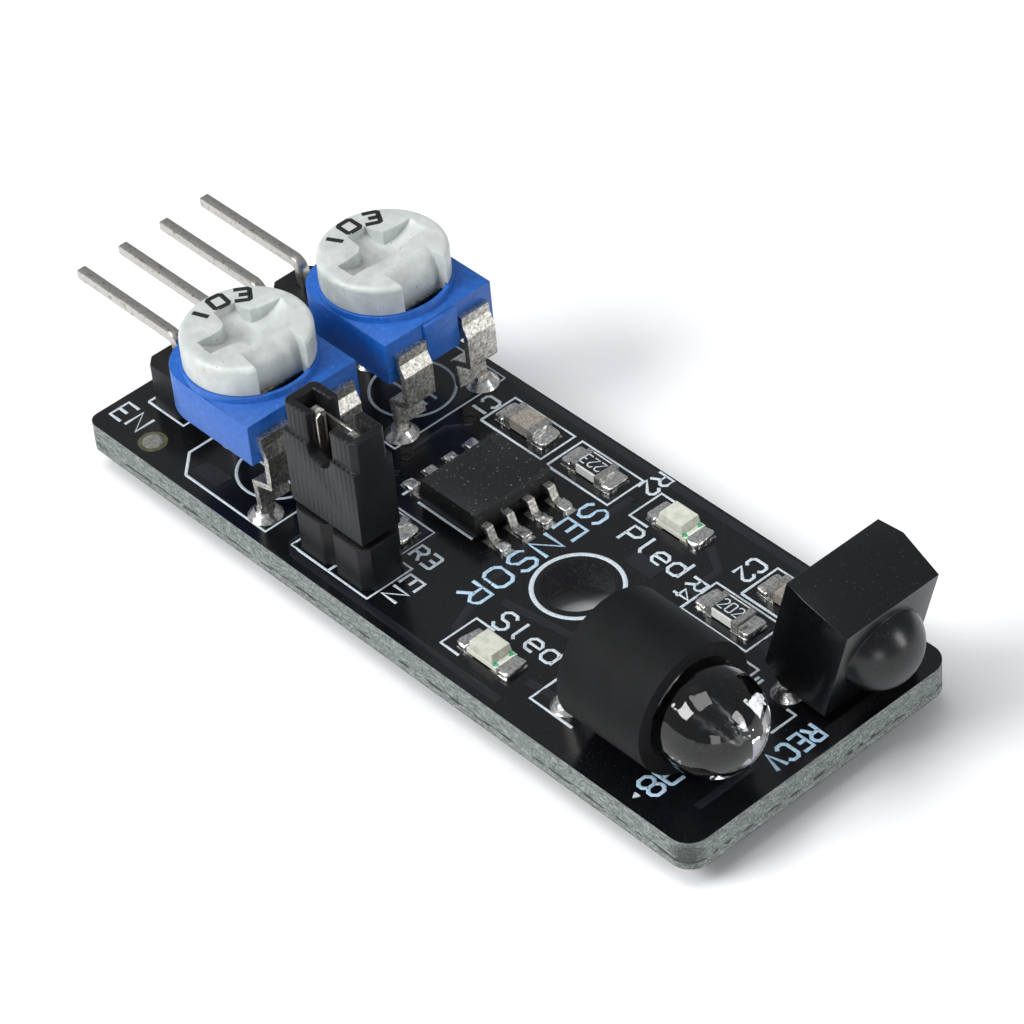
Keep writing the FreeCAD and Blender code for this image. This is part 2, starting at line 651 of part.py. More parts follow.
def receiver_pieces():
    middle = receiver_section(RECEIVER_PART, 0)
    back = Part.makeLoft([receiver_section(0, RECEIVER_DRAFT), middle], True, True)
    front = Part.makeLoft([middle, receiver_section(RECEIVER_D, RECEIVER_DRAFT)], True, True)
    dome = Part.makeSphere(RECEIVER_DOME_R, Vec(RECEIVER_DOME_X, 0, RECEIVER_DOME_H))
    body = fuse([back, front, dome])
    lead_x = RECEIVER_PART
    plate = box(around(lead_x, 0.15), (-1.6, 1.6), (1.6, 4.9))
    die = box((lead_x + 0.15, lead_x + 0.45), around(0, 0.8), around(RECEIVER_DIE_H, 0.8))
    stub_low = -0.25
    body = lean(body)
    plate = lean(plate)
    die = lean(die)
    leads = []
    for i, side in enumerate((-1, 0, 1)):
        y = side * PITCH
        half = RECEIVER_LEAD_W / 2
        stub = lean(box(around(lead_x, 0.2), around(y, half), (stub_low, 1.3 if side else 2.0)))
        angle = math.radians(RECEIVER_LEAN)
        foot_x = RECEIVER_X + lead_x * math.cos(angle) + stub_low * math.sin(angle)
        foot_z = RECEIVER_Z - lead_x * math.sin(angle) + stub_low * math.cos(angle)
        path = [(foot_x, foot_z), (RECEIVER_HOLE_X, RECEIVER_KNEE_Z), (RECEIVER_HOLE_X, LEAD_BOTTOM)]
        lead = fuse([stub, strip(path, 0.4, around(RECEIVER_Y + y, half))])
        if side == 0:
            lead = fuse([lead, plate])
        leads.append(lead)
    for metal in leads + [die]:
        body = body.cut(metal)
    save("receiver_body", body)
    for i, lead in enumerate(leads):
        save("receiver_lead_%d" % (i + 1), lead)
    save("receiver_die", die)


def metal_in_holes():
    """Plan section of the lead in each plated hole: x, y, half size along X and along Y."""
    square = PIN_W / 2
    leads = [(HEADER_X, y, square, square) for y in header_pin_ys()]
    leads += [(JUMPER_X + side * PITCH / 2, JUMPER_Y, square, square) for side in (-1, 1)]
    for n in (0, 1):
        leads += [(x, y, TERMINAL_T / 2, TERMINAL_LEG_W / 2) for x, y in trimmer_legs(n)]
    half = EMITTER_LEAD_W / 2
    leads += [(EMITTER_HOLE_X, EMITTER_Y + side * PITCH / 2, half, half) for side in (-1, 1)]
    half = RECEIVER_LEAD_W / 2
    leads += [(RECEIVER_HOLE_X, RECEIVER_Y + side * PITCH, 0.2, half) for side in (-1, 0, 1)]
    return leads


def solder_pieces():
    """Solder through each plated hole, a cone below, and a low collar above where there is room."""
    joints = []
    headers = HEADER_PINS + 2
    for n, ((x, y, r), (_, _, half_x, half_y)) in enumerate(zip(through_holes(), metal_in_holes())):
        under = LAMINATE_BOTTOM - PAD_T
        ring = r + 0.35
        pieces = [rod(x, y, (under, LAMINATE_TOP + PAD_T), r)]
        pieces.append(cone(x, y, (under - JOINT_H, under), 0.5, ring))
        if n >= headers:
            pieces.append(cone(x, y, (LAMINATE_TOP + PAD_T, 0.42), ring, 0.5))
        lead = box(around(x, half_x), around(y, half_y), (LEAD_BOTTOM - 1, 2))
        joints.append(fuse(pieces).cut(lead))
    save("solder_joints", *joints)

    fillets = []
    for x, y in [*RESISTORS.values(), *CAPACITORS.values(), *LED_CHIPS.values()]:
        for side in (-1, 1):
            heel = x + side * CHIP2_L / 2
            toe = x + side * (PAD_GAP / 2 + PAD_L)
            z = (LAMINATE_TOP + PAD_T, 0.36)
            wedge = [Vec(heel, y - 0.55, z[0]), Vec(toe, y - 0.55, z[0]), Vec(heel, y - 0.55, z[1])]
            face = Part.Face(Part.makePolygon(wedge + wedge[:1]))
            fillets.append(face.extrude(Vec(0, 1.1, 0)))
    for side in (-1, 1):
        for i in range(4):
            y = CHIP_Y + (i - 1.5) * CHIP_LEAD_PITCH
            heel = CHIP_X + side * CHIP_TOE
            z = (LAMINATE_TOP + PAD_T, 0.2)
            toe = heel + side * 0.55
            wedge = [Vec(heel, y - 0.25, z[0]), Vec(toe, y - 0.25, z[0]), Vec(heel, y - 0.25, z[1])]
            face = Part.Face(Part.makePolygon(wedge + wedge[:1]))
            fillets.append(face.extrude(Vec(0, 0.5, 0)))
    save("solder_fillets", *fillets)


os.makedirs("parts", exist_ok=True)
board_pieces()
header_pieces()
jumper_pieces()
trimmer_pieces()
timer_chip_pieces()
surface_chip_pieces()
emitter_pieces()
receiver_pieces()
solder_pieces()
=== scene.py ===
import bpy
import math
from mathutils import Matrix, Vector


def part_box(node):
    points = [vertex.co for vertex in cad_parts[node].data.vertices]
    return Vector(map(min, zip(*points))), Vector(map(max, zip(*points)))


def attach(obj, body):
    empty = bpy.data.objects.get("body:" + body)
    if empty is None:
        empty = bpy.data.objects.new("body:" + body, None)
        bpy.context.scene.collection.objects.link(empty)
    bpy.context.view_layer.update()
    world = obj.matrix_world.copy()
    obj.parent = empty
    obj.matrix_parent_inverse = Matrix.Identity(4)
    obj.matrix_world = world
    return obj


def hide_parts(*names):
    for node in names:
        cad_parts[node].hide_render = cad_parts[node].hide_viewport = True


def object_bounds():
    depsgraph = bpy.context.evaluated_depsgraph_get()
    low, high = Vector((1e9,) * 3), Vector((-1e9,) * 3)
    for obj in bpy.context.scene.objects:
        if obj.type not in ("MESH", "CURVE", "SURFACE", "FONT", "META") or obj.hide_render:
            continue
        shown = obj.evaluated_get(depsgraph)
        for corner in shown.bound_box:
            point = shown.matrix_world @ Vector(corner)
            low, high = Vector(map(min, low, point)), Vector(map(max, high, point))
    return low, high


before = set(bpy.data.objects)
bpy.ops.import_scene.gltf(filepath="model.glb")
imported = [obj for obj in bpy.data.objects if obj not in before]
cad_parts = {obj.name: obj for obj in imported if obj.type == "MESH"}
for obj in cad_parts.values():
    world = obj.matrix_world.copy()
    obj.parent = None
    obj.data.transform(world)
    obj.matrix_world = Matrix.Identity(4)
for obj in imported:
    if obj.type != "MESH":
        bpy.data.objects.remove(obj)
cad_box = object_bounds()
MM = 0.001

# The table and the light: a plain pale sheet under two large softboxes, with a side box, a low card and a
# pale surround, as for a small product shot. The board stands on the tips of its leads.


def deselect():
    if bpy.context.object and bpy.context.object.mode != "OBJECT":
        bpy.ops.object.mode_set(mode="OBJECT")
    bpy.ops.object.select_all(action="DESELECT")


def linear(code):
    """An sRGB hex colour as the linear values that a shader socket takes."""
    parts = [int(code[i : i + 2], 16) / 255 for i in (1, 3, 5)]
    parts = [p / 12.92 if p <= 0.04045 else ((p + 0.055) / 1.055) ** 2.4 for p in parts]
    return (*parts, 1.0)


def add(tree, kind, values=None, stops=(), **settings):
    """Adds a node; values are its inputs, each a constant or a node's output, and stops a ramp's colours."""
    made = tree.nodes.new("ShaderNode" + kind)
    for name, value in settings.items():
        setattr(made, name, value)
    for count, (position, code) in enumerate(stops):
        if count >= len(made.color_ramp.elements):
            made.color_ramp.elements.new(1.0)
        made.color_ramp.elements[count].position = position
        made.color_ramp.elements[count].color = linear(code)
    for name, value in (values or {}).items():
        if isinstance(value, bpy.types.NodeSocket):
            tree.links.new(value, made.inputs[name])
        else:
            made.inputs[name].default_value = value
    return made


def material(name):
    """An empty material's node tree, and the object coordinates that its patterns read."""
    made = bpy.data.materials.new(name)
    made.use_nodes = True
    made.node_tree.nodes.clear()
    place = add(made.node_tree, "TexCoord").outputs["Object"]
    return made, made.node_tree, place


def per_mm(size):
    """Texture scale at which one feature of a pattern is this many millimetres across."""
    return 1.0 / (size * MM)


deselect()
bpy.context.scene.view_settings.view_transform = "Standard"
bpy.ops.object.camera_add(
    location=(0.10925, -0.09066, 0.13138),
    rotation=[math.radians(a) for a in (48.490, 4.223, 47.635)],
)
camera = bpy.context.object
camera.data.lens = 151
camera.data.sensor_width = 36
camera.data.clip_start = 0.005
bpy.context.scene.camera = camera

# Pale and even, with almost no gloss, so that it shows only soft shadows.
sheet_mat, tree, place = material("matt white table sheet")
grain = add(tree, "TexNoise", {"Vector": place, "Scale": per_mm(6), "Detail": 2.0})
tint = add(
    tree, "ValToRGB", {"Fac": grain.outputs["Fac"]}, stops=[(0.3, "#f4f5f6"), (0.7, "#f8f8f8")],
).outputs[0]
surface = add(tree, "BsdfPrincipled", {"Base Color": tint, "Roughness": 0.85, "Specular IOR Level": 0.2})
add(tree, "OutputMaterial", {"Surface": surface.outputs[0]})
deselect()
bpy.ops.mesh.primitive_plane_add(size=3.0, location=(0, 0, cad_box[0][2] - 0.02 * MM))
floor = bpy.context.object
floor.name = "table"
floor.data.materials.append(sheet_mat)

world = bpy.data.worlds.new("studio surround")
bpy.context.scene.world = world
world.use_nodes = True
world.node_tree.nodes["Background"].inputs["Color"].default_value = linear("#f2f5fa")
world.node_tree.nodes["Background"].inputs["Strength"].default_value = 0.36


def softbox(name, place, size, power, turn):
    deselect()
    bpy.ops.object.light_add(type="AREA", location=place, rotation=[math.radians(a) for a in turn])
    lamp = bpy.context.object
    lamp.name = name
    lamp.data.shape = "RECTANGLE"
    lamp.data.size, lamp.data.size_y = size
    lamp.data.energy = power


def aimed(place):
    """The turn that points a lamp at the middle of the board."""
    return [math.degrees(a) for a in Vector(place).to_track_quat("Z", "Y").to_euler()]


for name, place, size, power in (
    ("key softbox", (-0.16, -0.40, 0.36), (0.26, 0.20), 2.3),
    ("top softbox", (-0.06, -0.14, 0.55), (0.34, 0.34), 1.5),
    ("side softbox", (0.40, 0.16, 0.16), (0.10, 0.24), 0.55),
    ("low front card", (0.30, -0.22, 0.05), (0.12, 0.10), 0.12),
):
    softbox(name, place, size, power, aimed(place))

# The board: glass cloth in green-grey epoxy, pressed in layers and parted from a panel by a router.
# Its cut edges show the cloth's layers, with the cut ends of darker bundles along the lower third.

# A grey-green fibrous cut edge, matt, in thin streaks along the board, with painted shade darkening the
# mounting hole's wall and the corner nearest the emitter.
laminate_mat, tree, place = material("FR4 glass epoxy laminate, routed edge")
# Layers of cloth lie 0.09 mm apart; the bundles run on for about 0.5 mm before they dip out of the cut.
run = add(tree, "Mapping", {"Vector": place, "Scale": (0.2, 0.2, 1.0)}).outputs[0]
layers = add(tree, "TexNoise", {"Vector": run, "Scale": per_mm(0.09), "Detail": 3.0, "Roughness": 0.6})
grain = add(tree, "TexNoise", {"Vector": place, "Scale": per_mm(0.11), "Detail": 3.0})
both = add(tree, "Math", {0: layers.outputs["Fac"], 1: grain.outputs["Fac"]}, operation="ADD")
both = add(tree, "Math", {0: both.outputs[0], 1: 0.5}, operation="MULTIPLY")
base = add(
    tree, "ValToRGB", {"Fac": both.outputs[0]},
    stops=[(0.36, "#434a47"), (0.5, "#6c7471"), (0.62, "#979e9b")],
).outputs[0]
height = add(tree, "SeparateXYZ", {"Vector": place}).outputs["Z"]
low = add(tree, "MapRange", {"Value": height, "From Min": 0.6 * MM, "From Max": 0.5 * MM})
high = add(tree, "MapRange", {"Value": height, "From Min": 0.3 * MM, "From Max": 0.4 * MM})
bundles = add(tree, "TexNoise", {"Vector": run, "Scale": per_mm(0.14), "Detail": 0.0})
cut = add(tree, "MapRange", {"Value": bundles.outputs["Fac"], "From Min": 0.5, "From Max": 0.56})
dark = add(tree, "Math", {0: low.outputs[0], 1: high.outputs[0]}, operation="MULTIPLY")
dark = add(tree, "Math", {0: dark.outputs[0], 1: cut.outputs[0]}, operation="MULTIPLY")
colour = add(tree, "MixRGB", {"Fac": dark.outputs[0], "Color1": base, "Color2": linear("#272d2a")})
# Painted shade: the wall of the mounting hole, which stands on the origin's axis, is coloured near black for
# the shade inside the hole.
flat = add(tree, "VectorMath", {0: place, 1: (1.0, 1.0, 0.0)}, operation="MULTIPLY")
radius = add(tree, "VectorMath", {0: flat.outputs[0]}, operation="LENGTH")
hole_shade_mask = add(
    tree, "MapRange", {"Value": radius.outputs["Value"], "From Min": 2.0 * MM, "From Max": 1.9 * MM},
)
hole_shade_colour = add(
    tree, "ValToRGB", {"Fac": grain.outputs["Fac"]}, stops=[(0.45, "#121316"), (0.72, "#3a3d42")],
).outputs[0]
colour = add(tree, "MixRGB", {"Fac": hole_shade_mask.outputs[0], "Color1": colour.outputs[0], "Color2": hole_shade_colour})
# Painted shade: a dark patch round the board's corner nearest the emitter.
corner_distance = add(tree, "VectorMath", {0: place, 1: (15.0 * MM, -7.8 * MM, 0.8 * MM)}, operation="DISTANCE")
corner_shade_mask = add(
    tree, "MapRange",
    {"Value": corner_distance.outputs["Value"], "From Min": 1.0 * MM, "From Max": 0.4 * MM, "To Max": 0.75},
)
colour = add(
    tree, "MixRGB", {"Fac": corner_shade_mask.outputs[0], "Color1": colour.outputs[0], "Color2": linear("#1d211f")},
)
relief = add(tree, "Bump", {"Height": both.outputs[0], "Distance": 0.03 * MM, "Strength": 0.8})
surface = add(tree, "BsdfPrincipled", {
    "Base Color": colour.outputs[0], "Roughness": 0.62, "IOR": 1.53, "Normal": relief.outputs[0],
})
add(tree, "OutputMaterial", {"Surface": surface.outputs[0]})


def coat(names, made):
    """Gives CAD nodes a material through their slots."""
    for name in names:
        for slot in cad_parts[name].material_slots:
            slot.material = made


coat(["board_laminate"], laminate_mat)

# Solder mask: glossy black epoxy ink over both faces, cured over the copper, so the tracks stand
# out underneath it as soft ridges.

# A near-black gloss that mirrors its surroundings softly, with fine dust.
mask_mat, tree, place = material("black epoxy solder mask, cured gloss")
# The ink flows out to a slight orange peel, about 0.9 mm across, with fine dust in it.
peel = add(tree, "TexNoise", {"Vector": place, "Scale": per_mm(0.9), "Detail": 2.0})
dust = add(tree, "TexNoise", {"Vector": place, "Scale": per_mm(0.07), "Detail": 1.0})
speck = add(tree, "MapRange", {"Value": dust.outputs["Fac"], "From Min": 0.7, "From Max": 0.76})
colour = add(
    tree, "MixRGB", {"Fac": speck.outputs[0], "Color1": linear("#0b0c0f"), "Color2": linear("#3d4046")},
)
relief = add(tree, "Bump", {"Height": peel.outputs["Fac"], "Distance": 0.012 * MM, "Strength": 0.5})
surface = add(tree, "BsdfPrincipled", {
    "Base Color": colour.outputs[0], "Roughness": 0.2, "IOR": 1.5, "Normal": relief.outputs[0],
})
add(tree, "OutputMaterial", {"Surface": surface.outputs[0]})
coat(["solder_mask_top", "solder_mask_bottom"], mask_mat)

face_low, face_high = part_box("solder_mask_top")
board_mid = (face_low + face_high) / 2
board_face = face_high.z


def at(x, y, z=0.0):
    """A place measured in millimetres from the middle of the board's face."""
    return Vector((board_mid.x + x * MM, board_mid.y + y * MM, board_face + z * MM))


def drawn(name, lines, width, z=0.0, squash=0.3):
    """Lines on the board: points extruded one after another, given a round section and pressed flat."""
    deselect()
    bpy.ops.mesh.primitive_plane_add(size=MM)
    bpy.ops.object.mode_set(mode="EDIT")
    bpy.ops.mesh.select_mode(type="VERT")
    bpy.ops.mesh.select_all(action="SELECT")
    bpy.ops.mesh.delete(type="VERT")
    for points in lines:
        bpy.ops.mesh.primitive_plane_add(size=MM, location=at(*points[0], z))
        bpy.ops.mesh.merge(type="CENTER")
        for (xa, ya), (xb, yb) in zip(points, points[1:]):
            step = ((xb - xa) * MM, (yb - ya) * MM, 0)
            bpy.ops.mesh.extrude_region_move(TRANSFORM_OT_translate={"value": step})
    bpy.ops.object.mode_set(mode="OBJECT")
    bpy.ops.object.convert(target="CURVE")
    piece = bpy.context.object
    piece.data.bevel_depth = width / 2 * MM
    piece.data.bevel_resolution = 1
    piece.data.use_fill_caps = True
    bpy.ops.object.convert(target="MESH")
    piece = bpy.context.object
    bpy.ops.object.mode_set(mode="EDIT")
    bpy.ops.mesh.select_all(action="SELECT")
    bpy.ops.mesh.remove_doubles(threshold=0.001 * MM)
    bpy.ops.mesh.normals_make_consistent(inside=False)
    bpy.ops.transform.resize(value=(1, 1, squash), center_override=at(0, 0, z))
    bpy.ops.object.mode_set(mode="OBJECT")
    piece.name = name
    return piece


def settle(piece, made, body="board", angle=40):
    """Gives a finished piece its material, its smooth faces and the body that it rides on."""
    deselect()
    piece.select_set(True)
    bpy.context.view_layer.objects.active = piece
    bpy.ops.object.transform_apply(location=True, rotation=True, scale=True)
    bpy.ops.object.shade_smooth_by_angle(angle=math.radians(angle))
    piece.data.materials.clear()
    piece.data.materials.append(made)
    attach(piece, body)


# Copper under the ink turns it a shade greyer, so the tracks read as faint paler lines.
over_copper_mat = mask_mat.copy()
over_copper_mat.name = "black epoxy solder mask over copper"
blend = next(n for n in over_copper_mat.node_tree.nodes if n.type == "MIX_RGB")
blend.inputs["Color1"].default_value = linear("#1b1d22")

tracks = [
    [(-18.0, -3.81), (-16.0, -1.8), (-16.0, 0.2), (-13.2, 0.2)],
    [(-18.0, 1.27), (-16.6, 1.27), (-15.6, 0.3)],
    [(-13.7, -3.9), (-11.5, -1.5), (-8.2, -1.5), (-6.6, -0.4)],
    [(-6.6, 4.2), (-7.4, 3.2), (-7.4, 1.1)],
    [(-8.0, -3.0), (-6.6, -4.0), (-6.6, -6.9), (-5.9, -7.4), (8.0, -7.4)],
    [(1.1, 3.2), (2.6, 4.4), (2.6, 5.74)],
    [(1.1, 0.6), (1.9, -0.6), (1.9, -2.6), (3.2, -5.72)],
    [(8.0, -5.72), (10.4, -5.52)],
    [(7.6, 5.85), (9.0, 5.0), (9.0, 3.27), (10.2, 3.27)],
    [(13.3, 3.27), (14.8, 2.6), (16.8, 1.59)],
    [(8.2, 1.9), (14.2, 0.9), (16.2, -0.6), (18.9, -2.8), (18.9, -6.0)],
    [(-2.3, -1.9), (-2.3, -4.2)],
    [(-20.0, 6.4), (-15.2, 7.7), (17.9, 7.6)],
    [(3.4, -3.0), (7.4, -2.4), (8.4, -1.4), (12.0, -0.6)],
]
settle(drawn("mask_over_tracks", tracks, 0.42, 0.0, 0.1), over_copper_mat, angle=70)
land = [[(x - 0.9, y), (x + 0.9, y)] for x, y in ((-13.3, 6.4), (-13.0, -6.4), (6.3, 3.0), (15.9, 6.9))]
settle(drawn("mask_over_lands", land, 0.9, 0.0, 0.05), over_copper_mat, angle=70)

# Pads and the test point: copper levelled with hot tin, so the faces are bright, thick in the middle
# and a little uneven.

# A bright metal face, a little lumpy, with dull grey stains.
tin_mat, tree, place = material("hot air levelled tin on copper")
lumps = add(tree, "TexNoise", {"Vector": place, "Scale": per_mm(0.3), "Detail": 3.0})
stain = add(tree, "TexNoise", {"Vector": place, "Scale": per_mm(0.12), "Detail": 2.0})
colour = add(
    tree, "ValToRGB", {"Fac": stain.outputs["Fac"]}, stops=[(0.35, "#a9a7a1"), (0.6, "#d3d2cd")],
).outputs[0]
rough = add(tree, "MapRange", {"Value": stain.outputs["Fac"], "To Min": 0.22, "To Max": 0.42})
relief = add(tree, "Bump", {"Height": lumps.outputs["Fac"], "Distance": 0.05 * MM, "Strength": 0.8})
surface = add(tree, "BsdfPrincipled", {
    "Base Color": colour, "Metallic": 1.0, "Roughness": rough.outputs[0], "Normal": relief.outputs[0],
})
add(tree, "OutputMaterial", {"Surface": surface.outputs[0]})
coat(["copper_pads_top", "copper_pads_bottom"], tin_mat)


def dished_disc(name, x, y, r, rise, dish):
    """A low round land: a filled circle drawn up, bevelled in, and dished or domed in the middle."""
    deselect()
    bpy.ops.mesh.primitive_circle_add(
        vertices=32, radius=r * MM, fill_type="NGON", location=at(x, y, -0.02),
    )
    piece = bpy.context.object
    bpy.ops.object.mode_set(mode="EDIT")
    bpy.ops.mesh.select_all(action="SELECT")
    bpy.ops.mesh.extrude_region_move(TRANSFORM_OT_translate={"value": (0, 0, (rise + 0.02) * MM)})
    bpy.ops.mesh.inset(thickness=r * 0.18 * MM, depth=rise * 0.5 * MM)
    bpy.ops.mesh.inset(thickness=r * 0.4 * MM, depth=-dish * MM)
    bpy.ops.mesh.select_all(action="SELECT")
    bpy.ops.mesh.normals_make_consistent(inside=False)
    bpy.ops.object.mode_set(mode="OBJECT")
    piece.name = name
    return piece


settle(dished_disc("test_point", -16.89, -6.86, 0.51, 0.03, 0.015), tin_mat)
# A thin olive ring of bare board round the test point.
bare_mat, tree, place = material("bare laminate under clear resin")
weave = add(tree, "TexNoise", {"Vector": place, "Scale": per_mm(0.2), "Detail": 2.0})
colour = add(
    tree, "ValToRGB", {"Fac": weave.outputs["Fac"]}, stops=[(0.35, "#3d3f2c"), (0.65, "#5a5b40")],
).outputs[0]
surface = add(tree, "BsdfPrincipled", {"Base Color": colour, "Roughness": 0.4, "IOR": 1.53})
add(tree, "OutputMaterial", {"Surface": surface.outputs[0]})
settle(dished_disc("test_point_surround", -16.89, -6.86, 0.72, 0.008, 0.0), bare_mat)
for count, (x, y) in enumerate(((-7.07, 4.4), (-7.21, 0.57), (2.57, 5.74), (1.9, -2.6), (8.4, -1.4))):
    via = dished_disc("via_%d" % (count + 1), x, y, 0.3, 0.02, 0.06)
    settle(via, mask_mat)

# Legend: white epoxy ink printed through a screen, so its lines stand up slightly, with rounded ends
# and a fine uneven cover.

# A blue-white line, matt, and thinner in places.
ink_mat, tree, place = material("white legend ink, screen printed")
cover = add(tree, "TexNoise", {"Vector": place, "Scale": per_mm(0.08), "Detail": 2.0})
colour = add(
    tree, "ValToRGB", {"Fac": cover.outputs["Fac"]}, stops=[(0.3, "#98a6b0"), (0.5, "#c9d3da")],
).outputs[0]
relief = add(tree, "Bump", {"Height": cover.outputs["Fac"], "Distance": 0.01 * MM, "Strength": 0.6})
surface = add(tree, "BsdfPrincipled", {
    "Base Color": colour, "Roughness": 0.55, "IOR": 1.5, "Normal": relief.outputs[0],
})
add(tree, "OutputMaterial", {"Surface": surface.outputs[0]})

blue_ink_mat = ink_mat.copy()
blue_ink_mat.name = "pale blue legend ink, screen printed"
shade = next(n for n in blue_ink_mat.node_tree.nodes if n.type == "VALTORGB").color_ramp
shade.elements[0].color, shade.elements[1].color = linear("#7fa3bd"), linear("#b3d0e4")

# Plotted letters on a grid four wide and six high.
LETTERS = {
    "E": [[(4, 6), (0, 6), (0, 0), (4, 0)], [(0, 3), (3, 3)]],
    "N": [[(0, 0), (0, 6), (4, 0), (4, 6)]],
    "R": [[(0, 0), (0, 6), (3, 6), (4, 5), (4, 4), (3, 3), (0, 3)], [(2, 3), (4, 0)]],
    "C": [[(4, 5), (3, 6), (1, 6), (0, 5), (0, 1), (1, 0), (3, 0), (4, 1)]],
    "P": [[(0, 0), (0, 6), (3, 6), (4, 5), (4, 4), (3, 3), (0, 3)]],
    "S": [[(4, 5), (3, 6), (1, 6), (0, 5), (0, 4), (1, 3), (3, 3), (4, 2), (4, 1), (3, 0), (1, 0), (0, 1)]],
    "O": [[(1, 0), (0, 1), (0, 5), (1, 6), (3, 6), (4, 5), (4, 1), (3, 0), (1, 0)]],
    "V": [[(0, 6), (2, 0), (4, 6)]],
    "l": [[(1.4, 6), (1.4, 1), (2.4, 0)]],
    "e": [[(0, 2), (4, 2), (4, 3), (3, 4), (1, 4), (0, 3), (0, 1), (1, 0), (3.4, 0)]],
    "d": [[(4, 6), (4, 0)], [(4, 3), (3, 4), (1, 4), (0, 3), (0, 1), (1, 0), (3, 0), (4, 1)]],
    "0": [[(0.6, 0), (0, 0.6), (0, 5.4), (0.6, 6), (3.4, 6), (4, 5.4), (4, 0.6), (3.4, 0), (0.6, 0)]],
    "1": [[(2, 0), (2, 6)]],
    "2": [[(0, 5), (1, 6), (3, 6), (4, 5), (4, 4), (0, 0), (4, 0)]],
    "3": [[(0, 6), (3.5, 6), (4, 5.5), (4, 0.5), (3.5, 0), (0, 0)], [(4, 3), (1.2, 3)]],
    "4": [[(3, 0), (3, 6), (0, 2), (4, 2)]],
    "8": [[(1, 3), (0, 4), (0, 5), (1, 6), (3, 6), (4, 5), (4, 4), (3, 3), (1, 3), (0, 2), (0, 1), (1, 0),
           (3, 0), (4, 1), (4, 2), (3, 3)]],
}


def word(text, x, y, turn, high, pitch, wide=None):
    """Strokes of a word from its lower left corner, turned in the plane; sizes are in millimetres."""
    across, up = (wide or pitch * 0.72) / 4, high / 6
    cos_turn, sin_turn = math.cos(math.radians(turn)), math.sin(math.radians(turn))
    strokes = []
    for count, letter in enumerate(text):
        for stroke in LETTERS[letter]:
            flat = [(count * pitch + u * across, v * up) for u, v in stroke]
            strokes.append(
                [(x + u * cos_turn - v * sin_turn, y + u * sin_turn + v * cos_turn) for u, v in flat],
            )
    return strokes


def frame_lines(x0, x1, y0, y1, cut_rear=0.0):
    """A rectangle, with both corners at x0 cut off where asked."""
    if not cut_rear:
        return [[(x0, y0), (x1, y0), (x1, y1), (x0, y1), (x0, y0)]]
    cut_x, cut_y0, cut_y1 = x0 + cut_rear, y0 + cut_rear, y1 - cut_rear
    return [[(cut_x, y0), (x1, y0), (x1, y1), (cut_x, y1), (x0, cut_y1), (x0, cut_y0), (cut_x, y0)]]


def ring_lines(x, y, r, steps=40):
    around = [math.tau * i / steps for i in range(steps + 1)]
    return [[(x + r * math.cos(a), y + r * math.sin(a)) for a in around]]


outlines = frame_lines(-19.33, -16.7, -5.14, 5.14)
outlines += frame_lines(-15.0, -8.07, -7.3, -0.6, 1.13) + frame_lines(-15.0, -8.07, 0.6, 7.57, 1.13)
for x, y in ((-10.9, -4.0), (-10.75, 4.05)):
    outlines += ring_lines(x, y, 2.08)
    outlines += [[(x - 1.4, y + 0.3), (x + 1.4, y + 0.3)], [(x - 1.4, y - 0.3), (x + 1.4, y - 0.3)]]
outlines += frame_lines(-6.5, -1.21, -7.07, -4.36) + [[(-3.93, -7.07), (-3.93, -4.36)]]
outlines += [[(-4.43, -1.14), (-0.69, -1.14)]]
outlines += [[(-5.35, y - 0.22), (-5.35, y + 0.22)] for y in (-1.1, -0.02, 1.25, 2.52, 3.65)]
outlines += frame_lines(-6.64, -2.5, 4.74, 6.93) + frame_lines(-2.0, 2.11, 4.64, 6.93)
outlines += frame_lines(-6.4, -2.29, -4.03, -2.04) + frame_lines(9.5, 13.64, 2.14, 4.4)
outlines += frame_lines(10.83, 14.97, 4.64, 6.93)
for y0, y1 in ((4.86, 6.89), (-6.69, -4.54)):
    outlines += [[(4.57, y0), (3.36, y0), (3.36, y1), (4.57, y1)]]
outlines += [
    [(10.7, 1.71), (14.86, 1.71), (14.86, 1.0)], [(15.2, 1.0), (15.2, 1.4)],
    [(15.45, 1.0), (15.45, 1.4)],
]
outlines += [[(17.5, 0.81), (18.03, 0.81), (18.03, -0.71)], [(8.86, -4.7), (8.86, -6.36), (11.57, -6.36)]]
settle(drawn("legend_outlines", outlines, 0.15), ink_mat)
settle(drawn("legend_hole_ring", ring_lines(5.14, 0, 2.12, 64), 0.22, 0.0, 0.25), ink_mat)

words = word("EN", -20.0, -6.97, 0, 1.14, 1.12) + word("EN", -1.0, -4.64, -90, 1.0, 1.0)
words += word("C1", -7.7, 6.21, -90, 0.9, 0.74, 0.56) + word("R2", 2.2, 7.86, -90, 0.95, 0.8)
words += word("R3", -2.07, -3.86, 0, 0.88, 0.84) + word("R4", 8.5, 4.0, -90, 0.9, 0.84)
words += word("C2", 9.54, 6.69, -90, 0.95, 0.78)
words += word("Pled", 4.07, 3.4, 0, 1.14, 1.04) + word("Sled", 4.07, -4.36, 0, 1.14, 1.04)
settle(drawn("legend_letters", words, 0.17), ink_mat)
large = word("SENSOR", 1.42, 4.29, -90, 1.3, 1.46, 1.0) + word("38", 16.0, -5.07, -90, 1.2, 1.0, 0.74)
large += word("RECV", 18.83, 0.83, -90, 1.05, 0.78)
settle(drawn("legend_large_letters", large, 0.2), blue_ink_mat)


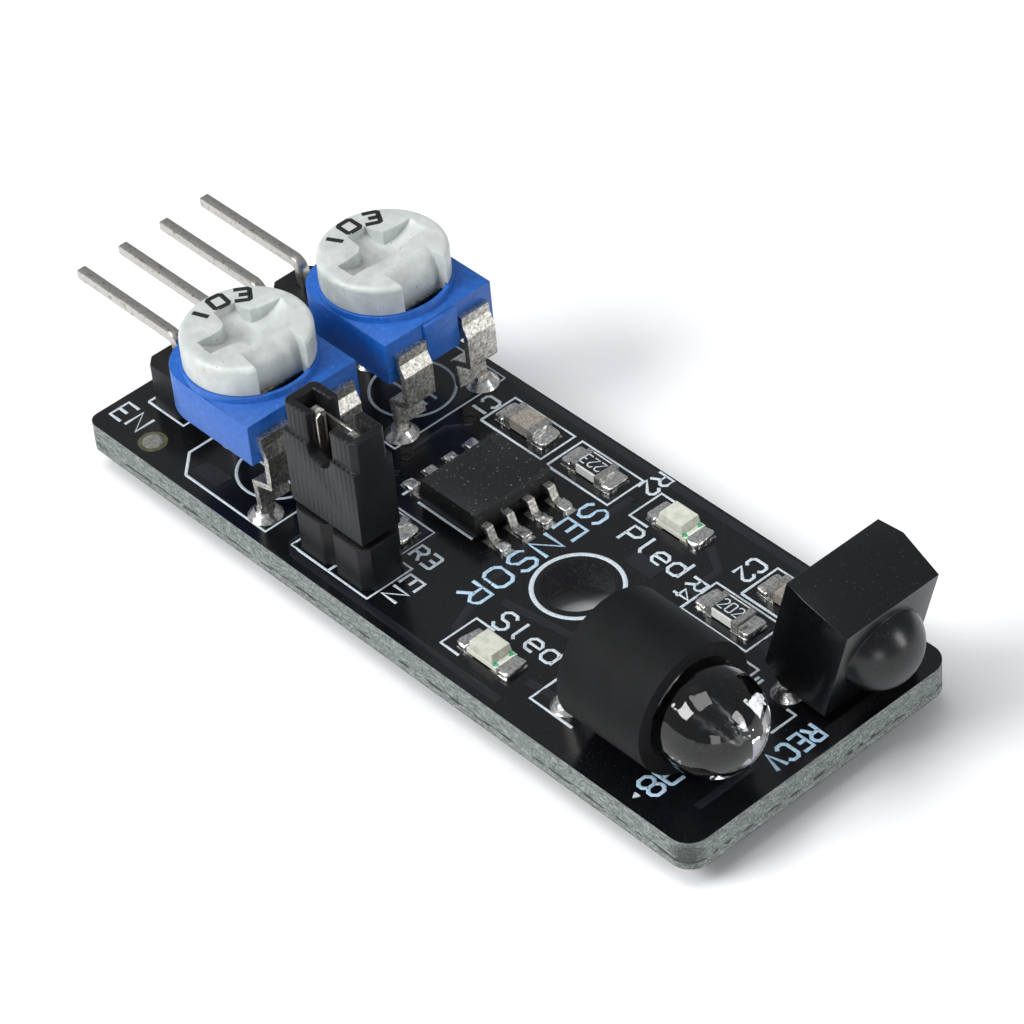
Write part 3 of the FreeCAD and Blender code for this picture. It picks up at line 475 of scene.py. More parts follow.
def legend_arrow(name, x, y, r, turn):
    """A small filled triangle of ink, drawn up from a three-sided circle and softened."""
    deselect()
    bpy.ops.mesh.primitive_circle_add(
        vertices=3, radius=r * MM, fill_type="NGON", location=at(x, y, -0.01),
    )
    piece = bpy.context.object
    bpy.ops.object.mode_set(mode="EDIT")
    bpy.ops.mesh.select_all(action="SELECT")
    bpy.ops.transform.rotate(value=math.radians(turn), orient_axis="Z", center_override=at(x, y))
    bpy.ops.mesh.extrude_region_move(TRANSFORM_OT_translate={"value": (0, 0, 0.035 * MM)})
    bpy.ops.mesh.select_all(action="SELECT")
    bpy.ops.mesh.bevel(offset=0.05 * MM, segments=2)
    bpy.ops.object.mode_set(mode="OBJECT")
    piece.name = name
    settle(piece, ink_mat)


legend_arrow("legend_arrow_38", 16.54, -7.3, 0.22, 180)
legend_arrow("legend_arrow_trimmer", -10.7, 7.0, 0.45, 90)

# Pin header and jumper header: glass-filled nylon strips moulded black, with fine satin faces.

# A soft black satin, roughened by the fill.
nylon_mat, tree, place = material("black glass-filled nylon, moulded satin")
# The fill shows as short flecks, about 0.12 mm across.
fleck = add(tree, "TexNoise", {"Vector": place, "Scale": per_mm(0.12), "Detail": 3.0})
colour = add(
    tree, "ValToRGB", {"Fac": fleck.outputs["Fac"]}, stops=[(0.4, "#070709"), (0.7, "#131416")],
).outputs[0]
rough = add(tree, "MapRange", {"Value": fleck.outputs["Fac"], "To Min": 0.38, "To Max": 0.55})
relief = add(tree, "Bump", {"Height": fleck.outputs["Fac"], "Distance": 0.02 * MM, "Strength": 0.6})
surface = add(tree, "BsdfPrincipled", {
    "Base Color": colour, "Roughness": rough.outputs[0], "IOR": 1.53, "Specular IOR Level": 0.3,
    "Normal": relief.outputs[0],
})
add(tree, "OutputMaterial", {"Surface": surface.outputs[0]})


def select_faces(piece, test):
    """In edit mode, selects the faces whose middle and normal pass the test."""
    bpy.ops.mesh.select_mode(type="FACE")
    bpy.ops.mesh.select_all(action="DESELECT")
    bpy.ops.object.mode_set(mode="OBJECT")
    for face in piece.data.polygons:
        face.select = test(face.center, face.normal)
    bpy.ops.object.mode_set(mode="EDIT")


def finish_with(piece, kind, **settings):
    """Adds a modifier and applies it."""
    deselect()
    piece.select_set(True)
    bpy.context.view_layer.objects.active = piece
    made = piece.modifiers.new(kind.lower(), kind)
    for name, value in settings.items():
        setattr(made, name, value)
    bpy.ops.object.modifier_apply(modifier=made.name)


def softened(node, name, made, width, body="board", segments=2, crease=35, smooth=40):
    """A moulding with its real rounded edges: the CAD node's shape copied, merged, and bevelled."""
    deselect()
    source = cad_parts[node]
    source.select_set(True)
    bpy.context.view_layer.objects.active = source
    bpy.ops.object.duplicate(linked=False)
    piece = bpy.context.object
    for key in [key for key in piece.keys() if key.startswith("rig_")]:
        del piece[key]
    piece.parent = None
    piece.name = name
    bpy.ops.object.mode_set(mode="EDIT")
    bpy.ops.mesh.select_all(action="SELECT")
    bpy.ops.mesh.customdata_custom_splitnormals_clear()
    bpy.ops.mesh.remove_doubles(threshold=0.002 * MM)
    bpy.ops.mesh.dissolve_limited(angle_limit=math.radians(1.5))
    bpy.ops.object.mode_set(mode="OBJECT")
    for edge in piece.data.edges:
        edge.use_edge_sharp = False
    finish_with(piece, "BEVEL", width=width * MM, segments=segments, limit_method="ANGLE",
                angle_limit=math.radians(crease), use_clamp_overlap=True, harden_normals=False)
    settle(piece, made, body, smooth)
    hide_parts(node)
    return piece


softened("header_block", "header_strip", nylon_mat, 0.06)
softened("jumper_header_block", "jumper_strip", nylon_mat, 0.06)

# Header and jumper pins: square brass wire, drawn, bent and tinned. Draw lines run along the pins and
# handling has left grey and brown specks in the tin.

# A bright grey metal with lines along it and brownish specks.
pin_mat, tree, place = material("tinned square brass wire, drawn")
run = add(tree, "Mapping", {"Vector": place, "Scale": (0.06, 1.0, 1.0)}).outputs[0]
lines = add(tree, "TexNoise", {"Vector": run, "Scale": per_mm(0.1), "Detail": 3.0})
specks = add(tree, "TexNoise", {"Vector": place, "Scale": per_mm(0.22), "Detail": 4.0, "Roughness": 0.7})
worn = add(tree, "MapRange", {"Value": specks.outputs["Fac"], "From Min": 0.56, "From Max": 0.68})
colour = add(
    tree, "MixRGB", {"Fac": worn.outputs[0], "Color1": linear("#c9c6bf"), "Color2": linear("#7b7163")},
)
rough = add(tree, "MapRange", {"Value": lines.outputs["Fac"], "To Min": 0.2, "To Max": 0.42})
relief = add(tree, "Bump", {"Height": lines.outputs["Fac"], "Distance": 0.02 * MM, "Strength": 0.5})
surface = add(tree, "BsdfPrincipled", {
    "Base Color": colour.outputs[0], "Metallic": 1.0, "Roughness": rough.outputs[0],
    "Normal": relief.outputs[0],
})
add(tree, "OutputMaterial", {"Surface": surface.outputs[0]})
coat(["jumper_pin_1", "jumper_pin_2"], pin_mat)


# One pin: a short square rod stood in the block, its upper face spun through the bend and drawn out
# to the tip, and both ends pointed.
low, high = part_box("header_pin_1")
pin_w, bend_r, point = 0.54 * MM, 0.5 * MM, 0.16 * MM
foot_x, pin_y, run_z = high.x - pin_w / 2, (low.y + high.y) / 2, high.z - pin_w / 2
knee_z = run_z - bend_r
stand = knee_z - low.z - point
deselect()
bpy.ops.mesh.primitive_cube_add(
    size=1, location=(foot_x, pin_y, knee_z - stand / 2), scale=(pin_w, pin_w, stand),
)
bpy.ops.object.transform_apply(location=True, rotation=True, scale=True)
pin = bpy.context.object
bpy.ops.object.mode_set(mode="EDIT")
select_faces(pin, lambda at, normal: normal.z < -0.9)
bpy.ops.mesh.extrude_region_move(TRANSFORM_OT_translate={"value": (0, 0, -point)})
bpy.ops.transform.resize(value=(0.45, 0.45, 1), center_override=(foot_x, pin_y, low.z))
select_faces(pin, lambda at, normal: normal.z > 0.9)
bpy.ops.mesh.spin(steps=8, angle=math.pi / 2, center=(foot_x - bend_r, pin_y, knee_z), axis=(0, 1, 0))
bpy.ops.mesh.extrude_region_move(
    TRANSFORM_OT_translate={"value": (low.x + point - (foot_x - bend_r), 0, 0)},
)
bpy.ops.mesh.extrude_region_move(TRANSFORM_OT_translate={"value": (-point, 0, 0)})
bpy.ops.transform.resize(value=(1, 0.45, 0.45), center_override=(low.x, pin_y, run_z))
bpy.ops.mesh.select_all(action="SELECT")
bpy.ops.mesh.remove_doubles(threshold=0.002 * MM)
bpy.ops.mesh.normals_make_consistent(inside=False)
bpy.ops.object.mode_set(mode="OBJECT")
finish_with(pin, "BEVEL", width=0.07 * MM, segments=2, limit_method="ANGLE", angle_limit=math.radians(50))
for n in (1, 2, 3, 4):
    deselect()
    pin.select_set(True)
    bpy.context.view_layer.objects.active = pin
    bpy.ops.object.duplicate(linked=False)
    copied = bpy.context.object
    copied.location.y = sum(c.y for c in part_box("header_pin_%d" % n)) / 2 - pin_y
    copied.name = "bent_pin_%d" % n
    settle(copied, pin_mat, angle=35)
    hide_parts("header_pin_%d" % n)
bpy.data.objects.remove(pin)
coat(["ir_led_anode_lead", "ir_led_cathode_lead"] + ["receiver_lead_%d" % n for n in (1, 2, 3)], pin_mat)

# Jumper cap: black nylon moulded as a shell with two towers, pushed over the two pins. Its sides carry
# fine upright ribs for grip, and the contact shows between the towers.

# A black satin that the ribs break into fine upright lines.
cap_mat, tree, place = material("black nylon jumper cap, ribbed moulding")
# Ribs 0.16 mm apart across both long faces.
ribs = add(
    tree, "TexWave", {"Vector": place, "Scale": per_mm(0.16) / math.tau, "Distortion": 0.4},
    bands_direction="X",
)
fleck = add(tree, "TexNoise", {"Vector": place, "Scale": per_mm(0.1), "Detail": 3.0})
colour = add(
    tree, "ValToRGB", {"Fac": fleck.outputs["Fac"]}, stops=[(0.4, "#0b0c0e"), (0.7, "#17181b")],
).outputs[0]
relief = add(tree, "Bump", {"Height": ribs.outputs["Fac"], "Distance": 0.03 * MM, "Strength": 0.5})
relief = add(
    tree, "Bump",
    {
        "Height": fleck.outputs["Fac"], "Distance": 0.015 * MM, "Strength": 0.5,
        "Normal": relief.outputs[0],
    },
)
surface = add(tree, "BsdfPrincipled", {
    "Base Color": colour, "Roughness": 0.42, "IOR": 1.53, "Specular IOR Level": 0.3,
    "Normal": relief.outputs[0],
})
add(tree, "OutputMaterial", {"Surface": surface.outputs[0]})
softened("jumper_cap", "cap_shell", cap_mat, 0.09, "jumper")

# A warm pale gold, a thin line of it under each dial.
bronze_mat, tree, place = material("phosphor bronze spring strip, rolled")
grain = add(tree, "TexNoise", {"Vector": place, "Scale": per_mm(0.25), "Detail": 3.0})
colour = add(
    tree, "ValToRGB", {"Fac": grain.outputs["Fac"]}, stops=[(0.35, "#8f8263"), (0.6, "#d8cfb4")],
).outputs[0]
relief = add(tree, "Bump", {"Height": grain.outputs["Fac"], "Distance": 0.02 * MM, "Strength": 0.4})
surface = add(tree, "BsdfPrincipled", {
    "Base Color": colour, "Metallic": 1.0, "Roughness": 0.25, "Normal": relief.outputs[0],
})
add(tree, "OutputMaterial", {"Surface": surface.outputs[0]})
coat(["trimmer_1_wiper", "trimmer_2_wiper"], bronze_mat)


# The jumper's contact: one stamping of springy bronze strip, tinned and folded. It has a strip along each
# wall, a web between the pins that joins them, a leaf in front of each pin, and a narrow spring folded
# over the gap.
low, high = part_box("jumper_contact")
strip_t, leaf_w, spring_w, lean_in = 0.12 * MM, 0.62 * MM, 0.24 * MM, 0.22 * MM
far_y, near_y = high.y - strip_t / 2, low.y + strip_t / 2
strip_top, leaf_top, spring_top = high.z - 0.75 * MM, high.z - 1.5 * MM, high.z - 0.35 * MM
pin_xs = [sum(c.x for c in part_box("jumper_pin_%d" % n)) / 2 for n in (1, 2)]
spring_x = pin_xs[0] + 0.5 * MM
web = Vector((sum(pin_xs) / 2, (far_y + near_y) / 2, low.z + strip_t))
deselect()
bpy.ops.mesh.primitive_plane_add(size=MM)
contact = bpy.context.object
bpy.ops.object.mode_set(mode="EDIT")
bpy.ops.mesh.select_mode(type="VERT")
bpy.ops.mesh.select_all(action="SELECT")
bpy.ops.mesh.delete(type="VERT")
bpy.ops.mesh.primitive_plane_add(size=1, location=web)
bpy.ops.transform.resize(value=(0.9 * MM, far_y - near_y, 1), center_override=web)
for x, y, wide, foot, top in (
    (web.x, far_y, high.x - low.x - strip_t, low.z, strip_top),
    (web.x, near_y, high.x - low.x - strip_t, low.z, low.z + 0.9 * MM),
    (pin_xs[0], near_y, leaf_w, low.z + 0.8 * MM, leaf_top),
    (pin_xs[1], near_y, leaf_w, low.z + 0.8 * MM, leaf_top),
    (spring_x, near_y, spring_w, low.z + 0.8 * MM, spring_top),
):
    bpy.ops.mesh.select_all(action="DESELECT")
    bpy.ops.mesh.primitive_plane_add(size=1, location=(x, y, foot), rotation=(math.pi / 2, 0, 0))
    bpy.ops.transform.resize(value=(wide, 1, 0.0), center_override=(x, y, foot))
    bpy.ops.mesh.remove_doubles(threshold=0.001 * MM)
    bpy.ops.mesh.extrude_region_move(TRANSFORM_OT_translate={"value": (0, 0, top - foot)})
# The spring's upper edge, still selected, is turned over towards the far wall and down it.
bpy.ops.mesh.extrude_region_move(TRANSFORM_OT_translate={"value": (0, lean_in, 0.14 * MM)})
bpy.ops.mesh.extrude_region_move(TRANSFORM_OT_translate={"value": (0, lean_in, -0.14 * MM)})
bpy.ops.mesh.extrude_region_move(TRANSFORM_OT_translate={"value": (0, 0, -1.6 * MM)})
bpy.ops.object.mode_set(mode="OBJECT")
contact.name = "jumper_spring_contact"
finish_with(contact, "SOLIDIFY", thickness=strip_t, offset=0.0)
finish_with(
    contact, "BEVEL", width=0.02 * MM, segments=1, limit_method="ANGLE", angle_limit=math.radians(50),
)
settle(contact, pin_mat, "jumper")
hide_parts("jumper_contact")

# Trimmers: bright blue moulded cases with white nylon dials, a printed carbon track on a ceramic disc,
# and wide tinned terminals stamped from strip.

# A strong blue with a fine matt grain and faint pale scuffs.
blue_mat, tree, place = material("blue PBT trimmer case, moulded")
# A fine matt grain, 0.07 mm, with faint pale scuffs about 0.3 mm long where the tool rubbed.
scuffs = add(tree, "TexNoise", {"Vector": place, "Scale": per_mm(0.3), "Detail": 5.0, "Roughness": 0.7})
grain = add(tree, "TexNoise", {"Vector": place, "Scale": per_mm(0.07), "Detail": 2.0})
base = add(
    tree, "ValToRGB", {"Fac": scuffs.outputs["Fac"]},
    stops=[(0.35, "#1253a4"), (0.62, "#1a60b8"), (0.74, "#4282cc")],
).outputs[0]
dust = add(
    tree, "MapRange",
    {"Value": grain.outputs["Fac"], "From Min": 0.68, "From Max": 0.78, "To Max": 0.5},
)
colour = add(tree, "MixRGB", {"Fac": dust.outputs[0], "Color1": base, "Color2": linear("#7fa9dc")})
relief = add(tree, "Bump", {"Height": grain.outputs["Fac"], "Distance": 0.015 * MM, "Strength": 0.7})
surface = add(tree, "BsdfPrincipled", {
    "Base Color": colour.outputs[0], "Roughness": 0.4, "IOR": 1.55, "Normal": relief.outputs[0],
})
add(tree, "OutputMaterial", {"Surface": surface.outputs[0]})
for n in (1, 2):
    softened("trimmer_%d_housing" % n, "trimmer_%d_case" % n, blue_mat, 0.09)

# A milky grey-white with soft shadows in the recess and a few dark motes.
dial_mat, tree, place = material("natural white nylon dial, moulded")
mottle = add(tree, "TexNoise", {"Vector": place, "Scale": per_mm(0.7), "Detail": 4.0})
pores = add(tree, "TexNoise", {"Vector": place, "Scale": per_mm(0.08), "Detail": 2.0})
base = add(
    tree, "ValToRGB", {"Fac": mottle.outputs["Fac"]}, stops=[(0.3, "#b4b9b6"), (0.7, "#c9cecb")],
).outputs[0]
motes = add(tree, "TexNoise", {"Vector": place, "Scale": per_mm(0.22), "Detail": 1.0})
mote = add(
    tree, "MapRange",
    {"Value": motes.outputs["Fac"], "From Min": 0.73, "From Max": 0.77, "To Max": 0.6},
)
colour = add(
    tree, "MixRGB", {"Fac": mote.outputs[0], "Color1": base, "Color2": linear("#6f7472")},
).outputs[0]
relief = add(tree, "Bump", {"Height": pores.outputs["Fac"], "Distance": 0.015 * MM, "Strength": 0.5})
surface = add(tree, "BsdfPrincipled", {
    "Base Color": colour, "Roughness": 0.4, "IOR": 1.53, "Normal": relief.outputs[0],
    "Subsurface Weight": 0.25, "Subsurface Radius": (0.0006, 0.0007, 0.0006), "Subsurface Scale": 1.0,
})
add(tree, "OutputMaterial", {"Surface": surface.outputs[0]})
for n in (1, 2):
    softened(
        "trimmer_%d_rotor" % n, "trimmer_%d_knob" % n, dial_mat, 0.1, "trimmer_%d_dial" % n,
        3, 30,
    )

# A dead matt dark grey with a fine grit, in the shadow under the dial.
track_mat, tree, place = material("printed carbon track on ceramic")
grit = add(tree, "TexNoise", {"Vector": place, "Scale": per_mm(0.05), "Detail": 2.0})
colour = add(
    tree, "ValToRGB", {"Fac": grit.outputs["Fac"]}, stops=[(0.4, "#1c1c1d"), (0.7, "#343434")],
).outputs[0]
surface = add(tree, "BsdfPrincipled", {"Base Color": colour, "Roughness": 0.7})
add(tree, "OutputMaterial", {"Surface": surface.outputs[0]})
coat(["trimmer_1_track", "trimmer_2_track"], track_mat)

# A bright, finely grained metal with small grey pits.
strip_mat, tree, place = material("tinned steel strip, stamped")
# Tin has pulled back in small grey pits, about 0.12 mm across.
pits = add(tree, "TexVoronoi", {"Vector": place, "Scale": per_mm(0.12)})
mottle = add(tree, "TexNoise", {"Vector": place, "Scale": per_mm(0.14), "Detail": 4.0, "Roughness": 0.65})
pitted = add(
    tree, "MapRange",
    {"Value": pits.outputs["Distance"], "From Min": 0.22, "From Max": 0.08, "To Max": 0.7},
)
tone = add(
    tree, "ValToRGB", {"Fac": mottle.outputs["Fac"]},
    stops=[(0.36, "#8f8c85"), (0.5, "#bcb9b2"), (0.64, "#e9e7e2")],
).outputs[0]
colour = add(tree, "MixRGB", {"Fac": pitted.outputs[0], "Color1": tone, "Color2": linear("#55524c")})
rough = add(tree, "MapRange", {"Value": mottle.outputs["Fac"], "To Min": 0.22, "To Max": 0.5})
relief = add(tree, "Bump", {"Height": mottle.outputs["Fac"], "Distance": 0.04 * MM, "Strength": 0.6})
surface = add(tree, "BsdfPrincipled", {
    "Base Color": colour.outputs[0], "Metallic": 1.0, "Roughness": rough.outputs[0],
    "Normal": relief.outputs[0],
})
add(tree, "OutputMaterial", {"Surface": surface.outputs[0]})
coat(
    ["trimmer_%d_%s" % (n, part) for n in (1, 2) for part in ("terminal_a", "terminal_b", "wiper_terminal")],
    strip_mat,
)
coat(["timer_chip_leads"], strip_mat)

# The dials' value code: three digits printed in black round the rim, opposite the notch. They turn with
# the dial.

# A flat black digit, slightly uneven.
code_mat, tree, place = material("black marking ink, pad printed")
thin = add(tree, "TexNoise", {"Vector": place, "Scale": per_mm(0.1), "Detail": 2.0})
colour = add(
    tree, "ValToRGB", {"Fac": thin.outputs["Fac"]}, stops=[(0.35, "#1b1d1f"), (0.65, "#0b0c0d")],
).outputs[0]
surface = add(tree, "BsdfPrincipled", {"Base Color": colour, "Roughness": 0.5})
add(tree, "OutputMaterial", {"Surface": surface.outputs[0]})
dial_r, digit_wide, digit_tall, digit_reach, digit_step = 3.12, 0.74, 0.84, 2.36, 28.5
for n, turn in ((1, -7), (2, 0)):
    low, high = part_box("trimmer_%d_rotor" % n)
    # The notch cuts only the dial's front, so its back and left give its middle.
    x = (low.x - board_mid.x) / MM + dial_r
    y = (low.y - board_mid.y) / MM + dial_r
    top = (high.z - board_face) / MM
    strokes = []
    for digit, around in zip("103", (-digit_step, 0.0, digit_step)):
        lean = math.radians(around - turn)
        out_x, out_y = -math.cos(lean), math.sin(lean)
        corner_x = x + digit_reach * out_x - digit_wide / 2 * out_y - digit_tall / 2 * out_x
        corner_y = y + digit_reach * out_y + digit_wide / 2 * out_x - digit_tall / 2 * out_y
        strokes += word(digit, corner_x, corner_y, 90 - around + turn, digit_tall, digit_wide, digit_wide)
    settle(drawn("dial_%d_code" % n, strokes, 0.27, top, 0.1), code_mat, "trimmer_%d_dial" % n)

# Timer chip: black epoxy moulded round the lead frame in a spark-eroded tool, and soldered down by its
# eight gull-wing leads. The silicon die lies inside.

# A matt black with bright specks of filler.
mould_mat, tree, place = material("black epoxy moulding compound, spark finish")
spark = add(tree, "TexNoise", {"Vector": place, "Scale": per_mm(0.09), "Detail": 3.0})
bright = add(tree, "TexNoise", {"Vector": place, "Scale": per_mm(0.13), "Detail": 1.0})
speck = add(tree, "MapRange", {"Value": bright.outputs["Fac"], "From Min": 0.7, "From Max": 0.76})
colour = add(
    tree, "MixRGB", {"Fac": speck.outputs[0], "Color1": linear("#070809"), "Color2": linear("#8b8f96")},
)
relief = add(tree, "Bump", {"Height": spark.outputs["Fac"], "Distance": 0.025 * MM, "Strength": 0.7})
surface = add(tree, "BsdfPrincipled", {
    "Base Color": colour.outputs[0], "Roughness": 0.5, "IOR": 1.55, "Normal": relief.outputs[0],
})
add(tree, "OutputMaterial", {"Surface": surface.outputs[0]})
softened("timer_chip_body", "chip_moulding", mould_mat, 0.05)

# A dark blue-grey mirror, seen only through the clear lens.
silicon_mat, tree, place = material("silicon die, polished")
cells = add(
    tree, "TexChecker",
    {"Vector": place, "Scale": per_mm(0.2), "Color1": linear("#3b3d47"), "Color2": linear("#4a4c58")},
)
surface = add(tree, "BsdfPrincipled", {"Base Color": cells.outputs[0], "Roughness": 0.12, "IOR": 3.4})
add(tree, "OutputMaterial", {"Surface": surface.outputs[0]})
coat(["timer_chip_die", "ir_led_die", "receiver_die"], silicon_mat)

# Chip resistors and capacitors: resistors are white alumina with a black glaze and a white code,
# capacitors are grey-brown fired ceramic; both have tinned ends.

# A chalky white edge round the black glaze.
alumina_mat, tree, place = material("white alumina, fired and snapped")
grain = add(tree, "TexNoise", {"Vector": place, "Scale": per_mm(0.05), "Detail": 2.0})
colour = add(
    tree, "ValToRGB", {"Fac": grain.outputs["Fac"]}, stops=[(0.35, "#c9cac6"), (0.65, "#e9eae6")],
).outputs[0]
relief = add(tree, "Bump", {"Height": grain.outputs["Fac"], "Distance": 0.01 * MM, "Strength": 0.6})
surface = add(
    tree, "BsdfPrincipled",
    {"Base Color": colour, "Roughness": 0.6, "IOR": 1.76, "Normal": relief.outputs[0]},
)
add(tree, "OutputMaterial", {"Surface": surface.outputs[0]})
coat(["resistor_r2", "resistor_r3", "resistor_r4"], alumina_mat)

# A soft black gloss.
glaze_mat, tree, place = material("black overglaze, fired")
soft = add(tree, "TexNoise", {"Vector": place, "Scale": per_mm(0.25), "Detail": 2.0})
colour = add(
    tree, "ValToRGB", {"Fac": soft.outputs["Fac"]}, stops=[(0.35, "#121315"), (0.65, "#1d1f22")],
).outputs[0]
relief = add(tree, "Bump", {"Height": soft.outputs["Fac"], "Distance": 0.015 * MM, "Strength": 0.5})
surface = add(
    tree, "BsdfPrincipled",
    {"Base Color": colour, "Roughness": 0.32, "IOR": 1.52, "Normal": relief.outputs[0]},
)
add(tree, "OutputMaterial", {"Surface": surface.outputs[0]})
coat(["resistor_glazes"], glaze_mat)

# A warm grey-brown, matt and finely grained.
ceramic_mat, tree, place = material("barium titanate ceramic, tumbled")
grain = add(tree, "TexNoise", {"Vector": place, "Scale": per_mm(0.1), "Detail": 3.0})
colour = add(
    tree, "ValToRGB", {"Fac": grain.outputs["Fac"]}, stops=[(0.35, "#77716a"), (0.65, "#9c968c")],
).outputs[0]
relief = add(tree, "Bump", {"Height": grain.outputs["Fac"], "Distance": 0.012 * MM, "Strength": 0.6})
surface = add(
    tree, "BsdfPrincipled", {"Base Color": colour, "Roughness": 0.5, "Normal": relief.outputs[0]},
)
add(tree, "OutputMaterial", {"Surface": surface.outputs[0]})
coat(["capacitor_c1", "capacitor_c2"], ceramic_mat)
coat(["chip_end_caps", "led_terminals"], tin_mat)

glaze_top = (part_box("resistor_glazes")[1].z - board_face) / MM
codes = word("223", 0.62, 6.1, 180, 0.62, 0.46, 0.32) + word("202", 11.0, 2.95, 0, 0.62, 0.46, 0.32)
settle(drawn("resistor_codes", codes, 0.075, glaze_top, 0.2), ink_mat)

# Indicator lamps: a small die under translucent cream resin on a white base, with green marks printed
# at one end.

# A plain off-white, slightly grained.
base_mat, tree, place = material("white glass-epoxy lamp base")
grain = add(tree, "TexNoise", {"Vector": place, "Scale": per_mm(0.08), "Detail": 2.0})
colour = add(
    tree, "ValToRGB", {"Fac": grain.outputs["Fac"]}, stops=[(0.35, "#cfd2c4"), (0.65, "#e8eadd")],
).outputs[0]
surface = add(tree, "BsdfPrincipled", {"Base Color": colour, "Roughness": 0.5})
add(tree, "OutputMaterial", {"Surface": surface.outputs[0]})
coat(["power_led_base", "signal_led_base"], base_mat)

# A cloudy cream that light enters a little way.
resin_mat, tree, place = material("cream translucent lamp resin, moulded")
cloud = add(tree, "TexNoise", {"Vector": place, "Scale": per_mm(0.4), "Detail": 3.0})
colour = add(
    tree, "ValToRGB", {"Fac": cloud.outputs["Fac"]}, stops=[(0.35, "#d8dccb"), (0.65, "#f0f1e4")],
).outputs[0]
relief = add(tree, "Bump", {"Height": cloud.outputs["Fac"], "Distance": 0.02 * MM, "Strength": 0.4})
surface = add(tree, "BsdfPrincipled", {
    "Base Color": colour, "Roughness": 0.25, "IOR": 1.52, "Transmission Weight": 0.25,
    "Normal": relief.outputs[0],
    "Subsurface Weight": 0.4, "Subsurface Radius": (0.0003, 0.0003, 0.0002), "Subsurface Scale": 1.0,
})
add(tree, "OutputMaterial", {"Surface": surface.outputs[0]})
coat(["power_led_lens", "signal_led_lens"], resin_mat)

# A clear green corner mark.
green_mat, tree, place = material("green marking ink on lamp base")
thin = add(tree, "TexNoise", {"Vector": place, "Scale": per_mm(0.1), "Detail": 2.0})
colour = add(
    tree, "ValToRGB", {"Fac": thin.outputs["Fac"]}, stops=[(0.35, "#2f9e6a"), (0.65, "#45b884")],
).outputs[0]
surface = add(tree, "BsdfPrincipled", {"Base Color": colour, "Roughness": 0.45})
add(tree, "OutputMaterial", {"Surface": surface.outputs[0]})
for name in ("power", "signal"):
    low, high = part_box(name + "_led_base")
    for side, edge in ((-1, low.y), (1, high.y)):
        corner = (high.x - 0.03 * MM, edge - side * 0.03 * MM, high.z - 0.01 * MM)
        deselect()
        bpy.ops.mesh.primitive_circle_add(vertices=3, radius=0.2 * MM, fill_type="NGON", location=corner)
        mark = bpy.context.object
        bpy.ops.object.mode_set(mode="EDIT")
        bpy.ops.mesh.select_all(action="SELECT")
        bpy.ops.transform.rotate(value=math.radians(45 * side), orient_axis="Z", center_override=corner)
        middle = (corner[0] - 0.15 * MM, corner[1] - side * 0.12 * MM, corner[2])
        bpy.ops.transform.translate(value=(middle[0] - corner[0], middle[1] - corner[1], 0))
        bpy.ops.mesh.extrude_region_move(TRANSFORM_OT_translate={"value": (0, 0, 0.025 * MM)})
        bpy.ops.mesh.select_all(action="SELECT")
        bpy.ops.mesh.bevel(offset=0.02 * MM, segments=1)
        bpy.ops.object.mode_set(mode="OBJECT")
        mark.name = "%s_lamp_mark_%s" % (name, "near" if side < 0 else "far")
        settle(mark, green_mat)

# Emitter: a 5 mm lamp of water-clear epoxy cast round its lead frame, pushed into a soft black sleeve
# that keeps its light off the receiver.

# Clear as glass, with slight ripples that break up what is seen in it.
clear_mat, tree, place = material("water-clear cast epoxy")
ripple = add(tree, "TexNoise", {"Vector": place, "Scale": per_mm(1.3), "Detail": 2.0})
relief = add(tree, "Bump", {"Height": ripple.outputs["Fac"], "Distance": 0.09 * MM, "Strength": 0.5})
surface = add(tree, "BsdfPrincipled", {
    "Base Color": linear("#f6f8fc"), "Roughness": 0.02, "IOR": 1.54, "Transmission Weight": 1.0,
    "Normal": relief.outputs[0],
})
add(tree, "OutputMaterial", {"Surface": surface.outputs[0]})
coat(["ir_led_lens"], clear_mat)

# A deep matt black with a wide, faint sheen.
sleeve_mat, tree, place = material("black elastomer sleeve, extruded matt")
# A fine mottled skin, 0.12 mm across, with faint cloudy wear over it.
skin = add(tree, "TexNoise", {"Vector": place, "Scale": per_mm(0.12), "Detail": 4.0, "Roughness": 0.65})
wear = add(tree, "TexNoise", {"Vector": place, "Scale": per_mm(1.2), "Detail": 4.0})
colour = add(
    tree, "ValToRGB", {"Fac": wear.outputs["Fac"]}, stops=[(0.35, "#08090a"), (0.65, "#0e0f11")],
).outputs[0]
relief = add(tree, "Bump", {"Height": skin.outputs["Fac"], "Distance": 0.025 * MM, "Strength": 0.7})
surface = add(tree, "BsdfPrincipled", {
    "Base Color": colour, "Roughness": 0.68, "IOR": 1.45, "Specular IOR Level": 0.24,
    "Normal": relief.outputs[0],
})
add(tree, "OutputMaterial", {"Surface": surface.outputs[0]})
coat(["ir_led_sleeve"], sleeve_mat)

# Receiver: epoxy dyed black, which passes only infrared, cast round its die and three leads in a polished
# tool that parts along the block's middle. The dome on its face gathers the light.

